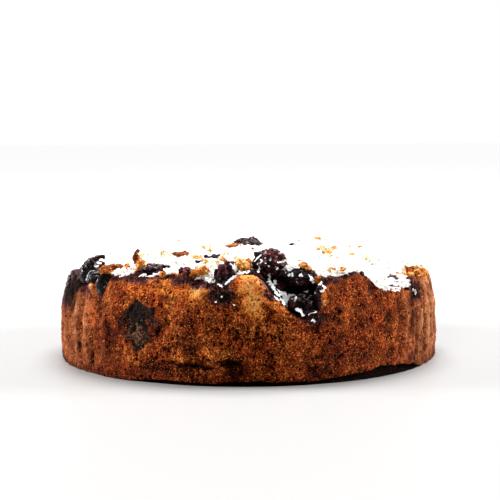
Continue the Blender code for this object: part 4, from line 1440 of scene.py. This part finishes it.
coconutPieces = strewCoconut()


# lumps and flakes placed as they lie on this cake

def makeTarget(pieces):
    points, faces, start = [], [], 0
    for piece in pieces:
        points += [vertex.co.copy() for vertex in piece.data.vertices]
        faces += [tuple(i + start for i in face.vertices) for face in piece.data.polygons]
        start = len(points)
    return BVHTree.FromPolygons(points, faces)


target = makeTarget([crustPiece, *berryPieces.values()])


def spotAt(pixelX, pixelY):
    place, normal, _, _ = target.ray_cast(eye, sightLine(pixelX, pixelY))
    return place, normal


def unitBall(detail):
    made = bmesh.new()
    bmesh.ops.create_icosphere(made, subdivisions=detail, radius=1.0)
    points = np.array([vertex.co[:] for vertex in made.verts])
    faces = [tuple(vertex.index for vertex in face.verts) for face in made.faces]
    made.free()
    return points, faces


def lumpPoints(ball, place, size, seed, roughness):
    swell = roughness * roughAt(ball * 1.3 + seed * 3.7, 3)
    swell = swell + 0.4 * roughness * roughAt(ball * 4.5 + seed * 1.9, 3)
    x, y, z = (ball * (1.0 + swell)[:, None] * np.array(size) / 2.0).T
    tilt = 0.4 * math.sin(seed * 2.4)
    y, z = y * math.cos(tilt) - z * math.sin(tilt), y * math.sin(tilt) + z * math.cos(tilt)
    return np.stack((x, y, z), axis=-1) + np.array(place)


laid = {
    # pixel x and y of the middle, width, height (mm), tone
    "crumbs": (
        (136.5, 262, 3.6, 9.5, 0.02), (137.5, 253, 2.0, 4.0, 0.1), (141, 266, 4.6, 6.5, 0.72),
        (181, 257, 9.5, 4.2, 0.15), (198, 274, 8.5, 5.5, 0.85), (204, 271, 5.0, 4.5, 0.95),
        (192, 276, 4.0, 3.0, 0.45), (163, 276, 3.4, 3.6, 0.65), (243, 267, 6.2, 7.2, 0.95),
        (248, 263, 4.0, 4.0, 0.6), (231, 248, 8.0, 3.6, 0.5), (239, 247, 5.0, 3.2, 0.4),
        (319, 281, 4.6, 4.0, 0.5), (303, 266, 4.6, 3.0, 0.8), (308, 269, 3.4, 2.4, 0.65),
        (321, 250, 5.0, 4.2, 1.25), (327, 252, 4.0, 3.4, 1.0), (334, 250, 3.4, 4.0, 0.8),
        (332, 271, 4.0, 2.8, 0.9), (343, 271, 4.2, 3.2, 0.9), (352, 255, 3.2, 4.0, 1.3),
        (350, 248, 2.2, 2.8, 1.4), (366, 259, 4.4, 5.0, 1.6), (163, 253, 4.0, 3.6, 1.6),
        (168, 256, 4.4, 3.6, 1.6), (175, 250, 2.8, 2.4, 1.4), (203, 248, 4.4, 3.0, 1.5),
        (209, 247, 3.6, 2.6, 1.4), (227, 255, 3.6, 2.8, 1.3), (216, 264, 4.0, 3.0, 1.6),
        (222, 259, 3.6, 3.0, 1.7), (208, 266, 3.6, 2.6, 1.5), (236, 259, 3.4, 2.8, 1.6),
        (248, 254, 3.4, 2.6, 1.5), (397, 274, 3.4, 1.3, 0.85), (402, 275, 3.6, 1.6, 0.8),
        (407, 276, 3.0, 1.9, 0.85), (411, 275, 3.6, 2.2, 0.9), (416, 272, 4.0, 2.6, 0.9),
        (421, 270, 4.4, 2.8, 0.95), (426, 273, 3.4, 2.8, 0.85), (417, 277, 3.4, 2.0, 0.8),
        (423, 276, 3.4, 2.2, 0.85), (428, 278, 2.4, 2.4, 0.75), (413, 268, 3.2, 2.0, 1.0),
        (104, 271, 6.0, 4.0, 0.4), (112, 268, 5.0, 3.2, 0.35), (119, 268, 5.0, 3.0, 0.45),
        (128, 268, 5.0, 2.8, 0.5), (210, 252, 3.4, 2.6, 0.9), (218, 250, 3.6, 2.4, 1.0),
        (224, 262, 3.6, 2.6, 0.7), (252, 250, 3.0, 2.4, 0.9), (360, 248, 3.6, 2.6, 1.0),
        (340, 245, 3.6, 2.4, 0.9), (205, 262, 3.4, 2.4, 0.8),
    ),
    # pixel x and y of the middle, width, height (mm), skin
    "bits": (
        (206, 259, 2.8, 3.4, "darkSkin"), (214, 260, 2.6, 2.6, "darkSkin"),
        (182, 272, 4.0, 3.4, "darkSkin"), (188, 274, 3.2, 3.8, "wineSkin"), (199, 264, 5.0, 2.4, "redSkin"),
        (257, 256, 3.4, 3.2, "darkSkin"), (236, 268, 2.6, 4.2, "wineSkin"),
        (290, 246, 6.6, 2.0, "darkSkin"), (164, 269, 3.4, 2.4, "darkSkin"),
        (138, 254, 2.4, 3.0, "wineSkin"), (137, 259, 2.8, 3.4, "wineSkin"),
        (144, 271, 3.4, 2.4, "wineSkin"), (281, 289, 6.0, 5.0, "wineSkin"),
        (318, 297, 4.6, 8.0, "darkSkin"), (319, 306, 4.0, 6.0, "darkSkin"),
        (307, 314, 7.0, 3.4, "darkSkin"), (292, 305, 4.0, 6.0, "darkSkin"),
        (285, 275, 7.0, 5.0, "darkSkin"), (276, 274, 5.0, 4.0, "darkSkin"),
        (298, 284, 7.0, 4.0, "darkSkin"), (263, 266, 4.0, 4.0, "redSkin"), (152, 270, 7.0, 2.6, "darkSkin"),
        (408, 289, 3.0, 2.4, "wineSkin"), (362, 275, 2.2, 2.6, "redSkin"), (346, 277, 2.4, 1.6, "wineSkin"),
        (91, 263, 3.6, 2.6, "darkSkin"), (392.5, 279.5, 5.0, 2.8, "maroonSkin"),
        (232, 266, 3.6, 3.4, "maroonSkin"), (187, 272, 3.4, 4.0, "maroonSkin"),
        (222.5, 269, 4.4, 4.4, "maroonSkin"), (227, 266.5, 3.6, 4.2, "wineSkin"),
    ),
    # the same for lumps of the berries at the left that stand out past the rim
    "shoulders": {
        "berry_left_top": (
            (88, 264, 4.6, 4.4, "darkSkin"), (91, 261.5, 4.2, 3.6, "wineSkin"),
            (94, 259.5, 3.8, 2.8, "darkSkin"), (97, 258, 3.6, 2.3, "wineSkin"),
            (100, 256.6, 3.2, 2.0, "darkSkin"), (102.6, 256, 2.4, 1.8, "wineSkin"),
            (104, 257.4, 1.5, 1.9, "darkSkin"),
        ),
        "berry_left_wall": (
            (74.6, 273.6, 4.4, 4.6, "wineSkin"), (79, 272.4, 4.6, 3.6, "darkSkin"),
            (71.5, 279, 4.4, 5.0, "wineSkin"), (76, 279, 4.6, 4.6, "darkSkin"),
            (70.5, 286, 4.6, 5.4, "wineSkin"),
        ),
    },
    # pixel x and y of the middle, length and width (mm), turn in the picture (degrees)
    "flakes": (
        (269, 278, 5.6, 1.5, 84), (271, 285, 4.6, 1.9, -62), (275, 292, 4.6, 2.2, -48),
        (284, 296, 5.4, 2.0, -14), (279, 295, 3.6, 1.6, 20), (287, 303, 4.6, 1.6, 76),
        (282, 301, 4.0, 1.5, -24), (276, 299, 3.4, 1.2, -35), (292, 296, 3.4, 1.5, -20),
        (296, 299, 2.6, 1.0, 60), (306, 292, 2.2, 1.6, 0), (302, 312, 4.6, 1.5, -38),
        (298, 309, 3.0, 1.4, -20), (312, 314, 4.6, 1.4, 32), (313, 321, 2.2, 1.2, -30),
        (321, 284, 2.6, 1.2, 40), (324, 287, 2.6, 1.3, -50), (322, 291, 2.4, 1.1, 20),
        (311, 279, 5.0, 2.3, -58), (293, 275, 2.0, 1.0, 84), (281, 262, 4.6, 1.2, 4),
        (258, 258, 5.0, 0.8, 42), (283, 272, 4.0, 1.9, 10), (290, 270, 4.6, 2.0, 28),
        (296, 268, 4.0, 1.8, -14), (288, 274, 3.4, 1.6, -30), (285, 268, 3.0, 1.4, 50),
        (216, 302, 1.0, 0.6, 0), (222, 297, 0.9, 0.6, 30), (234, 305, 1.3, 0.6, -30),
        (228, 283, 3.6, 1.3, 40), (233, 279, 4.4, 1.5, 36), (240, 275, 4.0, 1.2, 20),
        (247, 273, 3.6, 1.0, 8), (212, 277, 4.4, 1.5, -12), (206, 275, 3.0, 1.4, 10),
        (233, 268, 5.4, 2.2, -62), (143, 276, 4.0, 1.5, 8), (150, 277, 4.6, 1.6, -4),
        (157, 275, 4.0, 1.5, 10), (415, 292, 2.8, 1.0, 75), (412, 290, 1.6, 0.7, 60),
        (424, 269, 2.2, 1.2, -10), (396, 288, 4.0, 1.6, -12), (388, 288, 4.0, 1.6, 14),
        (381, 284, 4.0, 1.6, -40), (404, 283, 4.0, 1.5, 10), (386, 289, 3.6, 1.5, 20),
        (391, 288, 3.4, 1.4, -15), (395, 285, 3.0, 1.3, 30), (399, 286, 2.6, 1.2, -40),
        (390, 284, 3.0, 1.4, 10), (385, 283, 3.0, 1.4, -30), (262, 262, 3.0, 1.2, 70),
        (259, 268, 3.0, 1.2, 60), (301, 276, 2.0, 1.2, 0), (220, 286, 3.0, 1.2, -30),
        (98, 263, 3.6, 1.6, -6), (102, 261, 3.4, 1.6, 12), (96, 266, 2.6, 1.2, 10),
        # three thin strips along the grey berry's rim: a painted highlight
        (87.3, 279, 2.6, 0.26, 78), (89, 274.6, 2.6, 0.26, 55), (92.6, 271.8, 2.6, 0.26, 12),
        (258, 264, 0.9, 0.6, 20), (261, 260, 0.8, 0.5, -40), (262, 267, 0.9, 0.5, 70),
        (266, 263, 0.7, 0.5, 0), (265, 258, 0.9, 0.4, 35), (269, 266, 0.8, 0.5, -20),
        (259, 269, 1.0, 0.5, 50), (270, 260, 0.7, 0.4, 80), (401, 279, 4.0, 1.6, 5),
        (405, 281, 4.0, 1.5, -10), (402, 284, 4.0, 1.5, 20), (407, 284.5, 3.4, 1.4, -5),
        (399, 282, 4.0, 1.6, -15), (396, 281, 4.0, 1.5, 10), (404, 287, 3.0, 1.3, 5),
        (393, 290.6, 3.0, 1.2, 8), (397, 290.4, 2.6, 1.1, -15), (279, 272, 3.4, 1.6, 15),
        (282, 275.5, 3.2, 1.4, -25), (276, 270, 2.6, 1.2, 50), (285, 273, 2.8, 1.2, 35),
        (280, 254, 1.6, 0.7, 10), (275, 283, 2.6, 1.2, -60), (272.5, 288.5, 3.4, 1.5, -55),
        (279, 292, 3.8, 1.6, -40), (285, 299.5, 3.8, 1.5, -15), (288, 296.5, 3.0, 1.3, 30),
        (283, 304, 2.4, 1.2, -60), (290, 301, 2.4, 1.1, -75), (318, 275, 3.0, 1.3, 30),
        (198, 279, 3.0, 1.1, 5),
    ),
    "notchFlakes": (265, 295, 280, 306),  # least and most pixel x, least and most y
    "crumbRoughness": 0.50,
    "bitRoughness": 0.34,
    "shoulderRoughness": 0.30,
}


def joinPieces(name, parts, tones):
    faces, start = [], 0
    for points, partFaces in parts:
        faces += [tuple(i + start for i in face) for face in partFaces]
        start += len(points)
    made = meshFrom(name, np.concatenate([points for points, _ in parts]), faces)
    toned = [np.full(len(points), tone) for (points, _), tone in zip(parts, tones)]
    keepValue(made.data, "tone", np.concatenate(toned))
    return made


def layCrumbs():
    balls = {3: unitBall(3), 4: unitBall(4)}
    parts, tones = [], []
    for number, (x, y, width, height, tone) in enumerate(laid["crumbs"]):
        ball, faces = balls[4 if width > 4.5 else 3]
        place, _ = spotAt(x, y + height * 0.5)
        size = (width / 1000.0, (width + height) / 2000.0, height / 1000.0)
        middle = place + Vector((0.0, 0.0, size[2] * 0.24 + 0.0004)) + viewForward * size[1] * 0.2
        parts.append((lumpPoints(ball, middle, size, number, laid["crumbRoughness"]), faces))
        tones.append(tone)
    made = joinPieces("cakeCrumbs", parts, tones)
    made.data.materials.append(finishes["crumb"])
    return made


def layBits():
    ball, faces = unitBall(3)
    parts, skins = [], []
    names = ["darkSkin", "wineSkin", "redSkin", "maroonSkin"]
    for node, rows in laid["shoulders"].items():
        carrier = Vector(aroundCake(*berries[node][:3]).tolist())
        for number, (x, y, width, height, skin) in enumerate(rows):
            sight = sightLine(x, y)
            place = eye + sight * ((carrier - eye).dot(viewForward) / sight.dot(viewForward))
            size = (width / 1000.0, (width + height) / 2000.0, height / 1000.0)
            parts.append((lumpPoints(ball, place, size, number + 90, laid["shoulderRoughness"]), faces))
            skins += [names.index(skin)] * len(faces)
    for number, (x, y, width, height, skin) in enumerate(laid["bits"]):
        place, _ = spotAt(x, y)
        middle = place + Vector((0.0, 0.0, 0.0007)) - viewForward * 0.0002
        size = (width / 1000.0, (width + height) / 2200.0, height / 1000.0)
        parts.append((lumpPoints(ball, middle, size, number + 50, laid["bitRoughness"]), faces))
        skins += [names.index(skin)] * len(faces)
    made = joinPieces("berryBits", parts, [0.5] * len(parts))
    for name in names:
        made.data.materials.append(finishes[name])
    made.data.polygons.foreach_set("material_index", skins)
    bits = vectorsOf(made.data.vertices, "co")
    keepValue(made.data, "ripeness", np.clip(0.5 + 0.7 * noiseAt(bits * 400.0), 0.0, 1.0))
    keepValue(made.data, "groove", np.clip(-1.2 * noiseAt(bits * 520.0), 0.0, 1.0))
    return made


def layFlakes(piece):
    parts, tones = [], []
    lowX, highX, lowY, highY = laid["notchFlakes"]
    for number, (x, y, length, width, turn) in enumerate(laid["flakes"]):
        place, normal = spotAt(x, y)
        deep = lowX < x < highX and lowY < y < highY
        flat = viewSide * math.cos(math.radians(turn)) + viewUp * math.sin(math.radians(turn))
        along = (flat - normal * flat.dot(normal) * 0.35).normalized()
        face = normal * (0.1 if deep else 0.4) - viewForward * (0.7 if deep else 0.4) + viewUp * 0.6
        face += viewSide * (0.45 if x < 305 and not deep else 0.0)
        face = (face - along * face.dot(along)).normalized()
        across = face.cross(along)
        roll = 0.55 * math.sin(number * 2.3)
        cosine, sine = math.cos(roll), math.sin(roll)
        across, face = across * cosine + face * sine, face * cosine - across * sine
        bend = 0.35 * math.sin(number * 1.3 + 1.0)
        shape = (length / 1000.0, width / 1000.0, 0.00030, bend, 1.1, 8, number * 1.9, 1.5)
        turned = np.array(Matrix((along, across, face)).transposed())
        middle = place - viewForward * (0.0024 if deep else 0.0007) + normal * 0.0005
        parts.append((np.array(stripPoints(*shape)) @ turned.T + np.array(middle), linkStrip(8)))
        tones.append(0.7 + 0.3 * noise.noise((number * 1.7, 0.0, 0.0)))
    flakes = joinPieces("laidFlakes", parts, tones)
    flakes.data.shade_flat()
    flakes.data.materials.append(finishes["shred"])
    both = bmesh.new()
    both.from_mesh(piece.data)
    both.from_mesh(flakes.data)
    both.to_mesh(piece.data)
    both.free()
    bpy.data.objects.remove(flakes, do_unlink=True)


crumbPiece = layCrumbs()
bitPiece = layBits()
layFlakes(coconutPieces["coconutFlakes"])
print("crumbs, bits and flakes laid")


# together

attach(crustPiece, "root")
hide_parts("cake")
for node, piece in berryPieces.items():
    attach(piece, "root")
    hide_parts(node)
for piece in coconutPieces.values():
    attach(piece, "root")
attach(crumbPiece, "root")
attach(bitPiece, "root")
